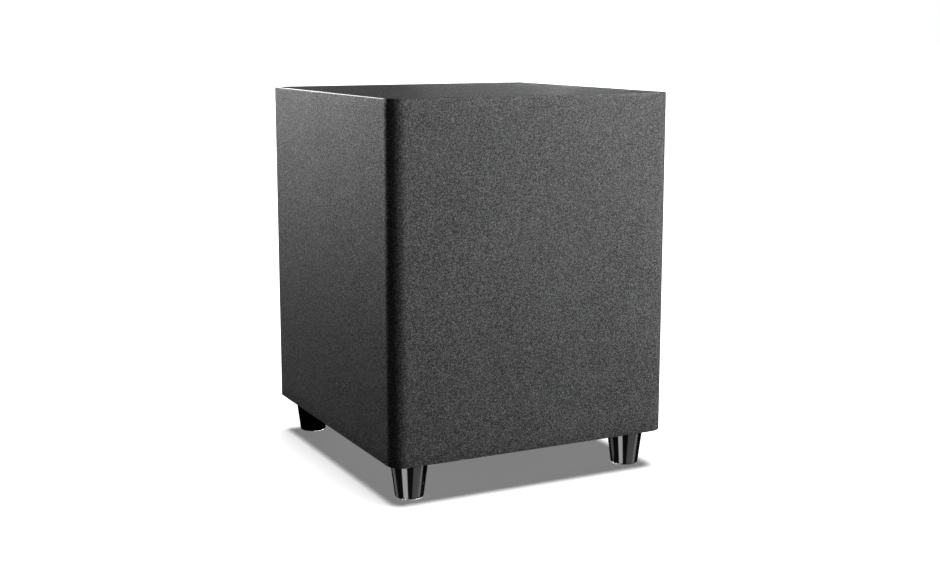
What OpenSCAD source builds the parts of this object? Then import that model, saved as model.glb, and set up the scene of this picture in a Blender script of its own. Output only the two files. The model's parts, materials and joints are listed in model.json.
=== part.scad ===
// A powered subwoofer: a wrapped fibreboard cabinet on four tapered feet, an eight-inch driver
// that fires down through its floor, and a port and a plate amplifier on its back.
// Millimetres, +Z up, front towards -Y. The origin is on the floor, in the middle of the outline.

/* [Cabinet] */
// Width of the cabinet
body_w = 309; // [285:1:380]
// Depth of the cabinet, without what stands out at the back
body_d = 316; // [300:1:390]
// Height of the cabinet, without the feet
body_h = 350; // [330:1:430]
// Thickness of the board
wall = 15; // [12:1:20]
// Radius of the two front upright edges, which is also the thickness of the front board
corner_r = 16; // [12:1:24]
// Width of the glued battens in the four inner corners
batten_w = 18; // [12:1:24]
// Thickness of the damping wadding
wadding_t = 14; // [8:1:20]

/* [Feet] */
// Height of the feet, with their pads
foot_h = 39; // [30:1:60]
// Radius of a foot where it meets the cabinet
foot_top_r = 19; // [17:0.5:24]
// Radius of a foot at its lower end
foot_bottom_r = 14; // [13.5:0.5:18]
// Rounding of a foot's lower edge
foot_edge_r = 1.6; // [0.5:0.1:2]
// Thickness of a foot's outer wall
foot_wall = 2.4; // [1.6:0.1:3]
// Distance from a foot's axis to the side of the cabinet
foot_inset_side = 30; // [24:1:45]
// Distance from a front foot's axis to the front of the cabinet
foot_inset_front = 30; // [24:1:45]
// Distance from a rear foot's axis to the back of the cabinet
foot_inset_rear = 20; // [20:1:45]
// Radius of the rubber pad
pad_r = 10.5; // [9:0.5:12]
// Thickness of the rubber pad
pad_t = 2.5; // [2:0.5:4]
// How far the pad stands out below the foot
pad_proud = 1; // [0.5:0.5:1.5]

/* [Driver] */
// Outer radius of the driver's flange
flange_r = 104.5; // [98:0.5:126]
// Thickness of the flange
flange_t = 5; // [4:0.5:6]
// Width of the flange outside the surround's lip
flange_ring = 8.5; // [8:0.5:12]
// Width of the surround's glued outer lip
outer_lip = 6; // [4:0.5:8]
// Radius of the surround's half roll, at the middle of the rubber
roll_r = 5.7; // [4:0.1:8]
// Thickness of the surround
surround_t = 1.2; // [0.8:0.1:1.6]
// Width of the surround's glued inner lip
inner_lip = 4.5; // [3:0.5:6]
// Depth of the cone from its lip to its neck
cone_depth = 35; // [28:1:38]
// Thickness of the cone
cone_t = 1.2; // [0.8:0.1:2]
// Radius of the dust cap
cap_r = 27; // [24:1:36]
// Inner radius of the voice coil's former
former_r = 18.6; // [17:0.1:22]
// Thickness of the former
former_t = 0.5; // [0.3:0.1:0.8]
// Thickness of the winding
winding_t = 0.8; // [0.6:0.1:1.2]
// Height of the winding
winding_h = 14; // [10:1:18]
// Clearance between the coil and the metal on each side of it
coil_gap = 0.6; // [0.5:0.1:1]
// Depth of the basket from the flange's face to the magnet system
basket_depth = 52; // [50:1:64]
// Thickness of the basket's metal
basket_t = 2.2; // [1.6:0.1:3]
// Number of spokes in the basket
spokes = 6; // [4:1:8]
// Radius of the steel plates of the magnet system
plate_r = 55; // [52:1:64]
// Thickness of the steel plates
yoke_t = 8; // [6:1:10]
// Radius of the ring magnet
magnet_r = 60; // [56:1:70]
// Thickness of the ring magnet
magnet_t = 18; // [14:1:22]
// Number of screws in the flange
driver_screw_n = 8; // [4:1:12]

/* [Port] */
// Inner radius of the port
port_r = 30; // [24:1:36]
// Radius of the port's flared mouth
flare_r = 10; // [6:1:12]
// Length of the port from the back of the cabinet
port_len = 150; // [100:5:180]
// Thickness of the port's wall
port_t = 2.5; // [2:0.5:4]
// Gap between the port and the wadding above it
port_gap = 5.5; // [2:0.5:12]

/* [Amplifier] */
// Width of the amplifier's plate
plate_w = 170; // [160:2:200]
// Height of the amplifier's plate
plate_h = 180; // [174:2:190]
// Thickness of the amplifier's plate
plate_t = 2.5; // [2:0.5:4]
// Distance from the bottom of the cabinet to the plate
plate_up = 28; // [24:1:40]
// Width of the plate's rim outside the opening in the board
plate_rim = 12; // [10:1:14]
// Thickness of the sealing gaskets
gasket_t = 1.5; // [1:0.5:3]
// Depth of the box behind the plate
box_depth = 58; // [54:1:70]
// Radius of the control knobs
knob_r = 9.5; // [8:0.5:13]
// Height of the control knobs
knob_h = 14; // [12:0.5:20]
// Radius of the control shafts
shaft_r = 3; // [2:0.5:3]
// Travel of the slide switches
switch_travel = 4; // [2:0.5:5]
// Angle through which the power rocker tilts
rocker_angle = 16; // [10:1:18]

/* [Hidden] */
$fn = 96;

// Clearances: glued and pressed fits, turning fits, and moving parts that must not touch
fit = 0.05;
run = 0.1;
clear = 0.4;
// How far a cutting shape runs past the face that it cuts
past = 1;

// Colours
vinyl = "#2b2c2e";
board = "#a98b62";
gloss_black = "#16171a";
rubber = "#1d1d1e";
steel = "#9a9da1";
dark_steel = "#3a3c40";
paper = "#26262a";
cloth = "#c2a14e";
copper = "#b06a38";
brass = "#c8a24a";
ferrite = "#34353a";
plastic = "#222326";
circuit = "#1f5a3a";
aluminium = "#b8bbc0";
fleece = "#d8d6cf";

// The cabinet
knob_lift = 0.6;
rear_out = gasket_t + plate_t + knob_lift + knob_h;
front_y = -(body_d + rear_out) / 2;
back_y = front_y + body_d;
mid_y = (front_y + back_y) / 2;
body_top = foot_h + body_h;
inner_x = body_w / 2 - wall;
inner_y0 = front_y + corner_r;
inner_y1 = back_y - wall;
inner_z0 = foot_h + wall;
inner_z1 = body_top - wall;
inner_h = inner_z1 - inner_z0;

// The feet
foot_x = body_w / 2 - foot_inset_side;
foot_y_front = front_y + foot_inset_front;
foot_y_rear = back_y - foot_inset_rear;
foot_seat = 12;
foot_boss_r = 9.4;
foot_floor = 10;
foot_rib_t = 1.8;
foot_screw_r = 3;
foot_head_r = 6;
foot_head_h = 4;
foot_socket_r = 6.6;
insert_r = 4.5;
insert_h = min(12, wall - 2);

// The driver: heights are measured up from the face of its flange
seat_r = flange_r - flange_ring;
lip_z = 2 * surround_t;
roll_mid_r = seat_r - outer_lip - roll_r;
roll_in_r = roll_mid_r - roll_r;
basket_wall_r = seat_r - outer_lip + 1;
cutout_r = basket_wall_r + 1;
shelf_z = basket_depth - 6;
shelf_r0 = 46;
shelf_r1 = 61;
cone_out_r = roll_in_r + surround_t / 2;
neck_r = former_r + former_t;
neck_z = lip_z + cone_depth;
cone_slope = cone_depth / (cone_out_r - inner_lip - neck_r);
winding_z = basket_depth + yoke_t / 2 - winding_h / 2;
former_top = winding_z + winding_h + 1;
gap_in_r = former_r - coil_gap;
gap_out_r = neck_r + winding_t + coil_gap;
magnet_bore_r = gap_out_r + 7;
magnet_z = basket_depth + yoke_t;
yoke_z = magnet_z + magnet_t;
driver_screw_r = 1.9;
driver_screw_circle = (flange_r + seat_r) / 2;

// The port, measured out from the back of the cabinet
socket_t = 2;
port_out_r = port_r + port_t + fit + socket_t;
port_z = inner_z1 - wadding_t - port_gap - port_out_r;
mouth_r = port_r + flare_r;
mouth_hole_r = mouth_r + port_t;
mouth_flange_r = mouth_hole_r + 3.5;
mouth_flange_t = 2.5;
tube_stop = wall + 3;
socket_len = 16;

// The amplifier, measured out from the back of its plate
plate_back = back_y + gasket_t;
plate_mid_z = foot_h + plate_up + plate_h / 2;
opening_w = plate_w - 2 * plate_rim;
opening_h = plate_h - 2 * plate_rim;
box_w = opening_w - 4;
box_h = opening_h - 4;
box_t = 2;
control_v = plate_h / 2 - 32;
level_at = [55, control_v];
crossover_at = [22, control_v];
phase_at = [-8, control_v];
mode_at = [-34, control_v];
rca_at = [[-60, control_v + 9], [-60, control_v - 9]];
light_at = [-21, control_v + 14];
inlet_at = [-34, 28 - plate_h / 2];
rocker_at = [30, 28 - plate_h / 2];
pot_r = 8.5;
pot_depth = 9;
bush_r = shaft_r + 1;
bush_out = 5;
nut_r = bush_r + 2.2;
nut_t = 2;
knob_skirt_r = nut_r + 0.8;
knob_skirt_z = bush_out + nut_t;
stem_w = 4;
stem_h = 3.4;
stem_out = 4;
carriage_w = 8;
carriage_h = 5;
carriage_t = 2.5;
switch_depth = 8;
rocker_w = 9.2;
rocker_len = 14.8;
rocker_pin_r = 1.2;
rocker_y = plate_t - 1;
bezel_t = 2;
ear_t = 3;
inlet_screw_x = 20;
pin_size = [2, 4];
pin_at = [[-7, -2], [7, -2], [0, 2]];
jack_r = 4.15;
jack_out = 8.5;
main_board_y = -43;
control_board_y = -pot_depth - 2;
board_t = 1.6;
amp_screw_r = 2;
amp_screw_head_r = 3.8;

// The speaker lead's route from the amplifier's box to the driver's tabs, for the right wire,
// measured from the driver's axis and the face of its flange
lead_r = 1.4;
gland_len = 6;
lead_gland = [2, back_y - box_depth - gland_len - mid_y, 110];
lead_route = [
    lead_gland,
    lead_gland + [0, -4, 0],
    lead_gland + [0, -8, 0],
    lead_gland + [0, -14, -12],
    [2.6, 79, 74],
    [4, 76, 58],
    [5, 71, 50],
    [5, 68, 49.4]
];
// A tinsel lead's route from the back of the cone to the right tab
tinsel_r = 0.7;
tinsel_foot_y = 40;
tinsel_foot_z = lip_z + cone_t + 0.4 * tinsel_r + cone_slope * (cone_out_r - inner_lip - tinsel_foot_y);
tinsel_route = [
    [6, tinsel_foot_y, tinsel_foot_z],
    [6, 50, 33],
    [6, 60, 33],
    [5.6, 66, 39],
    [5, 66.6, 48.9]
];

// ---- Shared shapes ----

module at_driver() {
    translate([0, mid_y, foot_h]) children();
}

// Places a shape on the amplifier's plate, with +Y pointing out of the cabinet
module at_plate(place) {
    translate([place[0], plate_back, plate_mid_z + place[1]]) children();
}

// A round bar along Y
module bar_y(r, y0, y1) {
    translate([0, y0, 0]) rotate([-90, 0, 0]) cylinder(r = r, h = y1 - y0);
}

// A box along Y, centred on X and Z
module block_y(w, h, y0, y1) {
    translate([-w / 2, y0, -h / 2]) cube([w, y1 - y0, h]);
}

module tube(r_out, r_in, z0, z1) {
    translate([0, 0, z0])
        linear_extrude(z1 - z0)
            difference() {
                circle(r = r_out);
                circle(r = r_in);
            }
}

// The cabinet's outline seen from above
module footprint() {
    translate([-body_w / 2, inner_y0]) square([body_w, body_d - corner_r]);
    translate([-body_w / 2 + corner_r, front_y]) square([body_w - 2 * corner_r, corner_r + past]);
    for (side = [-1, 1])
        translate([side * (body_w / 2 - corner_r), inner_y0]) circle(r = corner_r);
}

module at_driver_screws() {
    for (i = [0 : driver_screw_n - 1])
        rotate([0, 0, (i + 0.5) * 360 / driver_screw_n])
            translate([driver_screw_circle, 0, 0]) children();
}

// Ten places round the plate's rim
module at_amp_screws() {
    out_x = (plate_w - plate_rim) / 2;
    out_z = (plate_h - plate_rim) / 2;
    for (x = [-out_x, 0, out_x], z = [-out_z, out_z]) at_plate([x, z]) children();
    for (x = [-out_x, out_x], z = [-out_z / 3, out_z / 3]) at_plate([x, z]) children();
}

module at_inlet_screws() {
    for (side = [-1, 1]) at_plate(inlet_at + [side * inlet_screw_x, 0]) children();
}

// A point at share t between b and c, on the smooth curve through a, b, c and d
function curve_point(a, b, c, d, t) =
    0.5 * (2 * b + (c - a) * t + (2 * a - 5 * b + 4 * c - d) * t * t
        + (3 * b - a - 3 * c + d) * t * t * t);

// The route with extra points between its own, on a smooth curve through them
function smooth_route(p, steps) = [
    for (i = [0 : len(p) - 2], j = [0 : steps - 1])
        curve_point(p[max(i - 1, 0)], p[i], p[i + 1], p[min(i + 2, len(p) - 1)], j / steps),
    p[len(p) - 1]
];

function unit(v) = v / norm(v);

// The route's direction at one point
function heading(p, i) = unit(p[min(i + 1, len(p) - 1)] - p[max(i - 1, 0)]);

// A round cord along a route that never runs along X
module cord(route, r, sides = 8) {
    rings = [
        for (i = [0 : len(route) - 1])
            let (ahead = heading(route, i))
            let (across = unit(cross(ahead, [1, 0, 0])))
            let (up = cross(ahead, across))
            for (k = [0 : sides - 1])
                route[i] + r * (cos(360 * k / sides) * across + sin(360 * k / sides) * up)
    ];
    last = (len(route) - 1) * sides;
    skin = [
        for (i = [0 : len(route) - 2], k = [0 : sides - 1])
            let (next = (k + 1) % sides)
            [i * sides + k, i * sides + next, (i + 1) * sides + next, (i + 1) * sides + k]
    ];
    near_end = [for (k = [sides - 1 : -1 : 0]) k];
    far_end = [for (k = [0 : sides - 1]) last + k];
    polyhedron(points = rings, faces = concat(skin, [near_end, far_end]), convexity = 4);
}

// ---- Cabinet ----

module top_panel() {
    color(vinyl)
        translate([0, 0, inner_z1])
            linear_extrude(wall) footprint();
}

module bottom_panel() {
    rebate = flange_t + gasket_t;
    color(vinyl)
        difference() {
            translate([0, 0, foot_h]) linear_extrude(wall) footprint();
            at_driver() {
                translate([0, 0, -past]) cylinder(r = cutout_r, h = wall + 2 * past);
                translate([0, 0, -past]) cylinder(r = flange_r + clear, h = rebate + past);
                at_driver_screws() cylinder(r = driver_screw_r + fit, h = wall - 1);
            }
            for (x = [-foot_x, foot_x], y = [foot_y_front, foot_y_rear])
                translate([x, y, foot_h - past]) cylinder(r = insert_r + fit, h = insert_h + past);
        }
}

module front_panel() {
    color(vinyl)
        translate([0, 0, inner_z0])
            linear_extrude(inner_h)
                intersection() {
                    footprint();
                    translate([-body_w / 2, front_y]) square([body_w, corner_r]);
                }
}

module side_panel() {
    translate([inner_x, inner_y0, inner_z0]) cube([wall, body_d - corner_r, inner_h]);
}

module left_panel() {
    color(vinyl) mirror([1, 0, 0]) side_panel();
}

module right_panel() {
    color(vinyl) side_panel();
}

module rear_panel() {
    color(vinyl)
        difference() {
            translate([-inner_x, inner_y1, inner_z0]) cube([2 * inner_x, wall, inner_h]);
            translate([0, back_y, port_z]) bar_y(mouth_hole_r + fit, -wall - past, past);
            at_plate([0, 0]) block_y(opening_w, opening_h, -wall - gasket_t - past, past);
            at_amp_screws() bar_y(amp_screw_r + fit, -12, past);
        }
}

module corner_battens() {
    color(board)
        for (side = [0, 1], y = [inner_y0, inner_y1 - batten_w])
            mirror([side, 0, 0])
                translate([inner_x - batten_w, y, inner_z0]) cube([batten_w, batten_w, inner_h]);
}

// Two pads on the sides between the battens, and one under the top
module wadding() {
    pad_y = inner_y0 + batten_w;
    pad_d = inner_y1 - inner_y0 - 2 * batten_w;
    side_h = inner_h - wadding_t - 30;
    color(fleece) {
        for (side = [0, 1])
            mirror([side, 0, 0])
                translate([inner_x - wadding_t, pad_y, inner_z0 + 20]) cube([wadding_t, pad_d, side_h]);
        translate([batten_w - inner_x, pad_y, inner_z1 - wadding_t])
            cube([2 * (inner_x - batten_w), pad_d, wadding_t]);
    }
}

// ---- Feet ----

function foot_r_at(z) = foot_bottom_r + (foot_top_r - foot_bottom_r) * (z - pad_proud) / (foot_h - pad_proud);

// A moulded foot on its own axis: a tapered shell round a central post, with four ribs
module foot_body() {
    edge = [for (a = [-90 : 15 : 0]) [
        foot_r_at(pad_proud + foot_edge_r) - foot_edge_r + foot_edge_r * cos(a),
        pad_proud + foot_edge_r + foot_edge_r * sin(a)
    ]];
    cavity = [
        [foot_boss_r, foot_floor],
        [max(foot_r_at(foot_floor) - foot_wall, foot_boss_r + 0.5), foot_floor],
        [foot_top_r - foot_wall, foot_h + past],
        [foot_boss_r, foot_h + past]
    ];
    difference() {
        rotate_extrude() polygon(concat([[0, pad_proud]], edge, [[foot_top_r, foot_h], [0, foot_h]]));
        difference() {
            rotate_extrude() polygon(cavity);
            for (turn = [0, 90])
                rotate([0, 0, turn])
                    translate([-foot_top_r, -foot_rib_t / 2, 0]) cube([2 * foot_top_r, foot_rib_t, foot_h + 2 * past]);
        }
        cylinder(r = foot_screw_r + fit, h = foot_h + past);
        cylinder(r = foot_socket_r, h = foot_seat);
        cylinder(r = pad_r + fit, h = pad_t);
    }
}

module foot(x, y) {
    color(gloss_black) translate([x, y, 0]) foot_body();
}

module foot_pad(x, y) {
    color(rubber) translate([x, y, 0]) cylinder(r = pad_r, h = pad_t);
}

module at_feet() {
    for (x = [-foot_x, foot_x], y = [foot_y_front, foot_y_rear]) translate([x, y, 0]) children();
}

module foot_screws() {
    color(steel)
        at_feet()
            difference() {
                union() {
                    translate([0, 0, foot_seat - foot_head_h]) cylinder(r = foot_head_r, h = foot_head_h);
                    translate([0, 0, foot_seat]) cylinder(r = foot_screw_r, h = foot_h + insert_h - foot_seat - 1);
                }
                translate([0, 0, foot_seat - foot_head_h - past]) cylinder(r = 2.5, h = 2.5 + past, $fn = 6);
            }
}

module foot_inserts() {
    color(brass) at_feet() tube(insert_r, foot_screw_r + fit, foot_h, foot_h + insert_h);
}

// ---- Driver ----

// A flange, a wall that leans in from its knee to a shelf, and a raised seat for the magnet system
module basket() {
    wall_top = basket_wall_r - basket_t - 2;
    knee_z = 14;
    bore_r = gap_out_r + 9;
    shelf_top = shelf_z + basket_t;
    profile = [
        [seat_r, 0], [flange_r, 0], [flange_r, flange_t], [basket_wall_r, flange_t],
        [basket_wall_r, knee_z], [shelf_r1, shelf_top], [shelf_r0 + basket_t, shelf_top],
        [shelf_r0 + basket_t, basket_depth], [bore_r, basket_depth],
        [bore_r, basket_depth - basket_t], [shelf_r0, basket_depth - basket_t],
        [shelf_r0, shelf_z], [shelf_r1 - basket_t - 1, shelf_z],
        [basket_wall_r - basket_t, knee_z], [basket_wall_r - basket_t, lip_z], [seat_r, lip_z]
    ];
    spoke_w = 22;
    window_mid_r = 72;
    window_w = 2 * PI * window_mid_r / spokes - spoke_w;
    // Each window stops where the wall is this far outside the shelf
    window_lip = 3.7;
    window_z0 = knee_z + 3;
    window_z1 = shelf_top - window_lip * (shelf_top - knee_z) / (basket_wall_r - shelf_r1);
    color(dark_steel)
        at_driver()
            difference() {
                rotate_extrude() polygon(profile);
                for (i = [0 : spokes - 1])
                    rotate([0, 0, 90 + i * 360 / spokes])
                        translate([shelf_r1 + 1, -window_w / 2, window_z0])
                            cube([wall_top - shelf_r1, window_w, window_z1 - window_z0]);
                at_driver_screws() translate([0, 0, -past]) cylinder(r = driver_screw_r + 0.3, h = flange_t + 2 * past);
            }
}

module flange_gasket() {
    color(rubber)
        at_driver()
            difference() {
                tube(flange_r - 1, cutout_r, flange_t, flange_t + gasket_t);
                at_driver_screws() cylinder(r = driver_screw_r + 0.3, h = flange_t + gasket_t + past);
            }
}

// Half a roll of rubber between two flat glued lips, bulging out of the cabinet
module surround() {
    out_r = roll_r + surround_t / 2;
    in_r = roll_r - surround_t / 2;
    color(rubber)
        at_driver()
            rotate_extrude() {
                intersection() {
                    translate([roll_mid_r, lip_z])
                        difference() {
                            circle(r = out_r);
                            circle(r = in_r);
                        }
                    translate([roll_mid_r - out_r, lip_z - out_r]) square([2 * out_r, out_r]);
                }
                translate([cone_out_r - inner_lip, lip_z - surround_t]) square([inner_lip, surround_t]);
                translate([roll_mid_r + in_r, lip_z - surround_t])
                    square([seat_r - fit - roll_mid_r - in_r, surround_t]);
            }
}

// Height of the front of the cone at radius r
function cone_z(r) = lip_z + cone_slope * (cone_out_r - inner_lip - r);

module cone() {
    profile = [
        [cone_out_r, lip_z], [cone_out_r, lip_z + cone_t], [cone_out_r - inner_lip, lip_z + cone_t],
        [neck_r + fit, cone_z(neck_r + fit) + cone_t], [neck_r + fit, cone_z(neck_r + fit)],
        [cone_out_r - inner_lip, lip_z]
    ];
    color(paper) at_driver() rotate_extrude() polygon(profile);
}

// A shallow dome glued to the front of the cone
module dust_cap() {
    cap_rise = 8;
    cap_t = 0.8;
    rim_z = cone_z(cap_r);
    ball_r = (cap_r * cap_r + cap_rise * cap_rise) / (2 * cap_rise);
    half_angle = asin(cap_r / ball_r);
    ball_z = rim_z - cap_rise + ball_r;
    steps = 12;
    outside = [for (i = [0 : steps]) let (a = half_angle * i / steps) [ball_r * sin(a), ball_z - ball_r * cos(a)]];
    glue_land = [cap_r - 1.2, cone_z(cap_r - 1.2)];
    inside = [for (i = [steps : -1 : 0]) let (a = 0.9 * half_angle * i / steps) [
        (ball_r - cap_t) * sin(a),
        ball_z - (ball_r - cap_t) * cos(a)
    ]];
    color(paper) at_driver() rotate_extrude() polygon(concat(outside, [glue_land], inside));
}

module coil_former() {
    color(cloth) at_driver() tube(neck_r, former_r, neck_z - 1, former_top);
}

module coil_winding() {
    color(copper)
        at_driver() tube(neck_r + winding_t, neck_r + fit, winding_z, winding_z + winding_h);
}

// A corrugated cloth disc from the former out to the basket's shelf
module spider() {
    in_r = neck_r + fit;
    out_r = 57;
    flat = 4;
    cloth_t = 0.6;
    waves = 5;
    steps = 40;
    height = 1.5;
    function spider_r(i) = in_r + (out_r - flat - in_r) * i / steps;
    function spider_z(i) = shelf_z - cloth_t - height * (1 - cos(360 * waves * i / steps)) / 2;
    upper = [for (i = [0 : steps]) [spider_r(i), spider_z(i) + cloth_t], [out_r, shelf_z]];
    lower = [[out_r, shelf_z - cloth_t], for (i = [steps : -1 : 0]) [spider_r(i), spider_z(i)]];
    color(cloth) at_driver() rotate_extrude() polygon(concat(upper, lower));
}

module top_plate() {
    color(steel) at_driver() tube(plate_r, gap_out_r, basket_depth, magnet_z);
}

module ring_magnet() {
    color(ferrite) at_driver() tube(magnet_r, magnet_bore_r, magnet_z, yoke_z);
}

// The back plate and the pole that stands in the coil, with a vent through both
module pole_plate() {
    vent_r = 5;
    color(steel)
        at_driver()
            difference() {
                union() {
                    translate([0, 0, yoke_z]) cylinder(r = plate_r, h = yoke_t);
                    translate([0, 0, basket_depth - 1]) cylinder(r = gap_in_r, h = yoke_z - basket_depth + 1);
                }
                translate([0, 0, basket_depth - 2]) cylinder(r = vent_r, h = yoke_z + yoke_t);
            }
}

// A board on the basket's shelf, with two tabs for the leads
module terminal_board() {
    board_z = shelf_z + basket_t;
    tab_z = 49;
    color(plastic)
        at_driver()
            translate([-10, shelf_r0 + basket_t + 0.8, board_z]) cube([20, 11, 2.8]);
    color(brass)
        at_driver()
            for (x = [-5, 5]) translate([x - 2.4, 60, tab_z]) cube([4.8, 8, 0.8]);
}

module tinsel_leads() {
    color(copper)
        at_driver()
            for (side = [0, 1])
                mirror([side, 0, 0]) cord(smooth_route(tinsel_route, 6), tinsel_r);
}

module driver_screws() {
    color(dark_steel)
        at_driver()
            at_driver_screws() {
                translate([0, 0, -2]) cylinder(r = 3.6, h = 2);
                cylinder(r = driver_screw_r, h = wall - 2);
            }
}

// ---- Port ----

// The flared mouth and the socket that holds the tube, turned about the port's axis
module port_flare() {
    flare = [for (a = [0 : 9 : 90]) [mouth_r - flare_r * sin(a), -flare_r * (1 - cos(a))]];
    lip = [for (p = flare) p + [0, mouth_flange_t]];
    profile = concat(
        [[mouth_flange_r, 0], [mouth_flange_r, mouth_flange_t - 1], [mouth_flange_r - 1, mouth_flange_t]],
        lip,
        [
            [port_r, -tube_stop], [port_r + port_t + fit, -tube_stop],
            [port_r + port_t + fit, -tube_stop - socket_len], [port_out_r, -tube_stop - socket_len],
            [port_out_r, -wall], [mouth_hole_r, -wall], [mouth_hole_r, 0]
        ]
    );
    color(plastic)
        translate([0, back_y, port_z])
            rotate([-90, 0, 0])
                rotate_extrude() polygon(profile);
}

module port_tube() {
    color(plastic)
        translate([0, back_y, port_z])
            rotate([90, 0, 0]) tube(port_r + port_t, port_r, tube_stop, port_len);
}

// ---- Amplifier ----

module amp_plate() {
    inlet_hole = [28.2, 20.6];
    rocker_hole = [13.2, 19.2];
    slot_w = stem_w + switch_travel + 2 * clear;
    color(dark_steel)
        difference() {
            at_plate([0, 0]) block_y(plate_w, plate_h, 0, plate_t);
            for (place = [level_at, crossover_at]) at_plate(place) bar_y(bush_r + 0.1, -past, plate_t + past);
            for (place = [phase_at, mode_at])
                at_plate(place) block_y(slot_w, stem_h + 2 * clear, -past, plate_t + past);
            for (place = rca_at) at_plate(place) bar_y(5.6, -past, plate_t + past);
            at_plate(light_at) bar_y(1.55, -past, plate_t + past);
            at_plate(inlet_at) block_y(inlet_hole[0], inlet_hole[1], -past, plate_t + past);
            at_plate(rocker_at) block_y(rocker_hole[0], rocker_hole[1], -past, plate_t + past);
            at_inlet_screws() bar_y(1.55, -past, plate_t + past);
            at_amp_screws() bar_y(amp_screw_r + 0.2, -past, plate_t + past);
        }
}

module amp_gasket() {
    color(rubber)
        difference() {
            at_plate([0, 0]) block_y(plate_w - 1, plate_h - 1, -gasket_t, 0);
            at_plate([0, 0]) block_y(opening_w, opening_h, -gasket_t - past, past);
            at_amp_screws() bar_y(amp_screw_r + 0.2, -gasket_t - past, past);
        }
}

// A box behind the plate that keeps the cabinet airtight, with posts for the main board
module amp_box() {
    box_back = -gasket_t - box_depth;
    post_end = main_board_y - board_t;
    gland_z = foot_h + lead_gland[2] - plate_mid_z;
    color(plastic) {
        at_plate([0, 0])
            difference() {
                block_y(box_w, box_h, box_back, 0);
                block_y(box_w - 2 * box_t, box_h - 2 * box_t, box_back + box_t, past);
            }
        for (x = [-50, 50], z = [-55, 25])
            at_plate([x, z]) bar_y(3, box_back + box_t, post_end);
        at_plate([0, gland_z]) bar_y(6, box_back - gland_len, box_back);
    }
}

module amp_screws() {
    color(dark_steel) {
        at_amp_screws() {
            bar_y(amp_screw_head_r, plate_t, plate_t + 2);
            bar_y(amp_screw_r, -11, plate_t);
        }
        at_inlet_screws() {
            bar_y(2.6, plate_t + ear_t, plate_t + ear_t + 1.6);
            bar_y(1.5, -3, plate_t + ear_t);
        }
    }
}

// The main board on its posts, and the control board behind the pots and switches
module circuit_boards() {
    color(circuit) {
        at_plate([0, -15]) block_y(124, 100, main_board_y - board_t, main_board_y);
        at_plate([0, control_v]) block_y(130, 30, control_board_y - board_t, control_board_y);
    }
}

// A ferrite core with two windows, and the winding round its middle leg
module transformer() {
    core = [36, 32, 14];
    leg = 10;
    window = [(core[0] - leg) / 2 - 5, core[1] - 12];
    lift = 6;
    color(ferrite)
        at_plate([32, -22])
            translate([0, main_board_y + lift + core[2] / 2, 0])
                difference() {
                    cube([core[0], core[2], core[1]], center = true);
                    for (side = [-1, 1])
                        translate([side * (leg + window[0]) / 2, 0, 0])
                            cube([window[0], core[2] + 2, window[1]], center = true);
                }
    color(cloth)
        at_plate([32, -22])
            translate([0, main_board_y + lift + core[2] / 2, 0])
                difference() {
                    cube([leg + 2 * window[0] - 2, core[2] + 2 * lift - 0.2, window[1] - 1], center = true);
                    cube([leg + 0.2, core[2] + 0.2, window[1]], center = true);
                }
}

module capacitors() {
    color(gloss_black)
        for (x = [-44, -18]) at_plate([x, -20]) bar_y(10, main_board_y, main_board_y + 26);
}

// An angle on the back of the plate that takes the transistors' heat
module heat_bracket() {
    length = 84;
    color(aluminium)
        at_plate([-6, 12]) {
            translate([-length / 2, -3, 0]) cube([length, 3, 16]);
            translate([-length / 2, -34, 0]) cube([length, 31, 3]);
        }
}

// Four power transistors under the angle, with their legs in the main board
module transistors() {
    color(gloss_black)
        for (i = [0 : 3])
            at_plate([-36 + 20 * i, 12]) {
                translate([-8, -30, -5]) cube([16, 21, 5]);
                for (x = [-5.4, 0, 5.4]) translate([x - 0.6, main_board_y, -3.2]) cube([1.2, -30 - main_board_y, 0.8]);
            }
}

// A potentiometer: its case, its threaded bush through the plate, and its nut
module pot(place) {
    color(steel)
        at_plate(place)
            difference() {
                union() {
                    bar_y(pot_r, -pot_depth, 0);
                    block_y(10, 4, control_board_y, -pot_depth + 1);
                    bar_y(bush_r, 0, plate_t + bush_out);
                    translate([0, plate_t, 0]) rotate([-90, 0, 0]) cylinder(r = nut_r, h = nut_t, $fn = 6);
                }
                bar_y(shaft_r + run, -pot_depth + 2, plate_t + bush_out + past);
            }
}

module control_shaft(place) {
    color(aluminium) at_plate(place) bar_y(shaft_r, -pot_depth + 2 + clear, plate_t + knob_lift + knob_h - 2);
}

// A control knob with a fluted grip and a pointer groove, hollow round the bush and nut
module knob(place) {
    base = plate_t + knob_lift;
    top_r = knob_r - 0.8;
    edge = 0.8;
    flutes = 18;
    profile = [
        [0, base], [knob_r, base], [knob_r, base + 2], [top_r, base + knob_h - edge],
        [top_r - edge, base + knob_h], [0, base + knob_h]
    ];
    color(plastic)
        at_plate(place)
            difference() {
                rotate([-90, 0, 0]) rotate_extrude() polygon(profile);
                bar_y(knob_skirt_r, 0, plate_t + knob_skirt_z);
                bar_y(shaft_r + fit, 0, base + knob_h - 2);
                for (i = [0 : flutes - 1])
                    rotate([0, (i + 0.5) * 360 / flutes, 0])
                        translate([0, 0, knob_r + 0.35]) bar_y(0.7, base + 3, base + knob_h + past);
                translate([-0.6, base + knob_h - 0.6, 2]) cube([1.2, 0.6 + past, knob_r]);
            }
}

module level_pot() {
    pot(level_at);
}

module level_shaft() {
    control_shaft(level_at);
}

module level_knob() {
    knob(level_at);
}

module crossover_pot() {
    pot(crossover_at);
}

module crossover_shaft() {
    control_shaft(crossover_at);
}

module crossover_knob() {
    knob(crossover_at);
}

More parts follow.
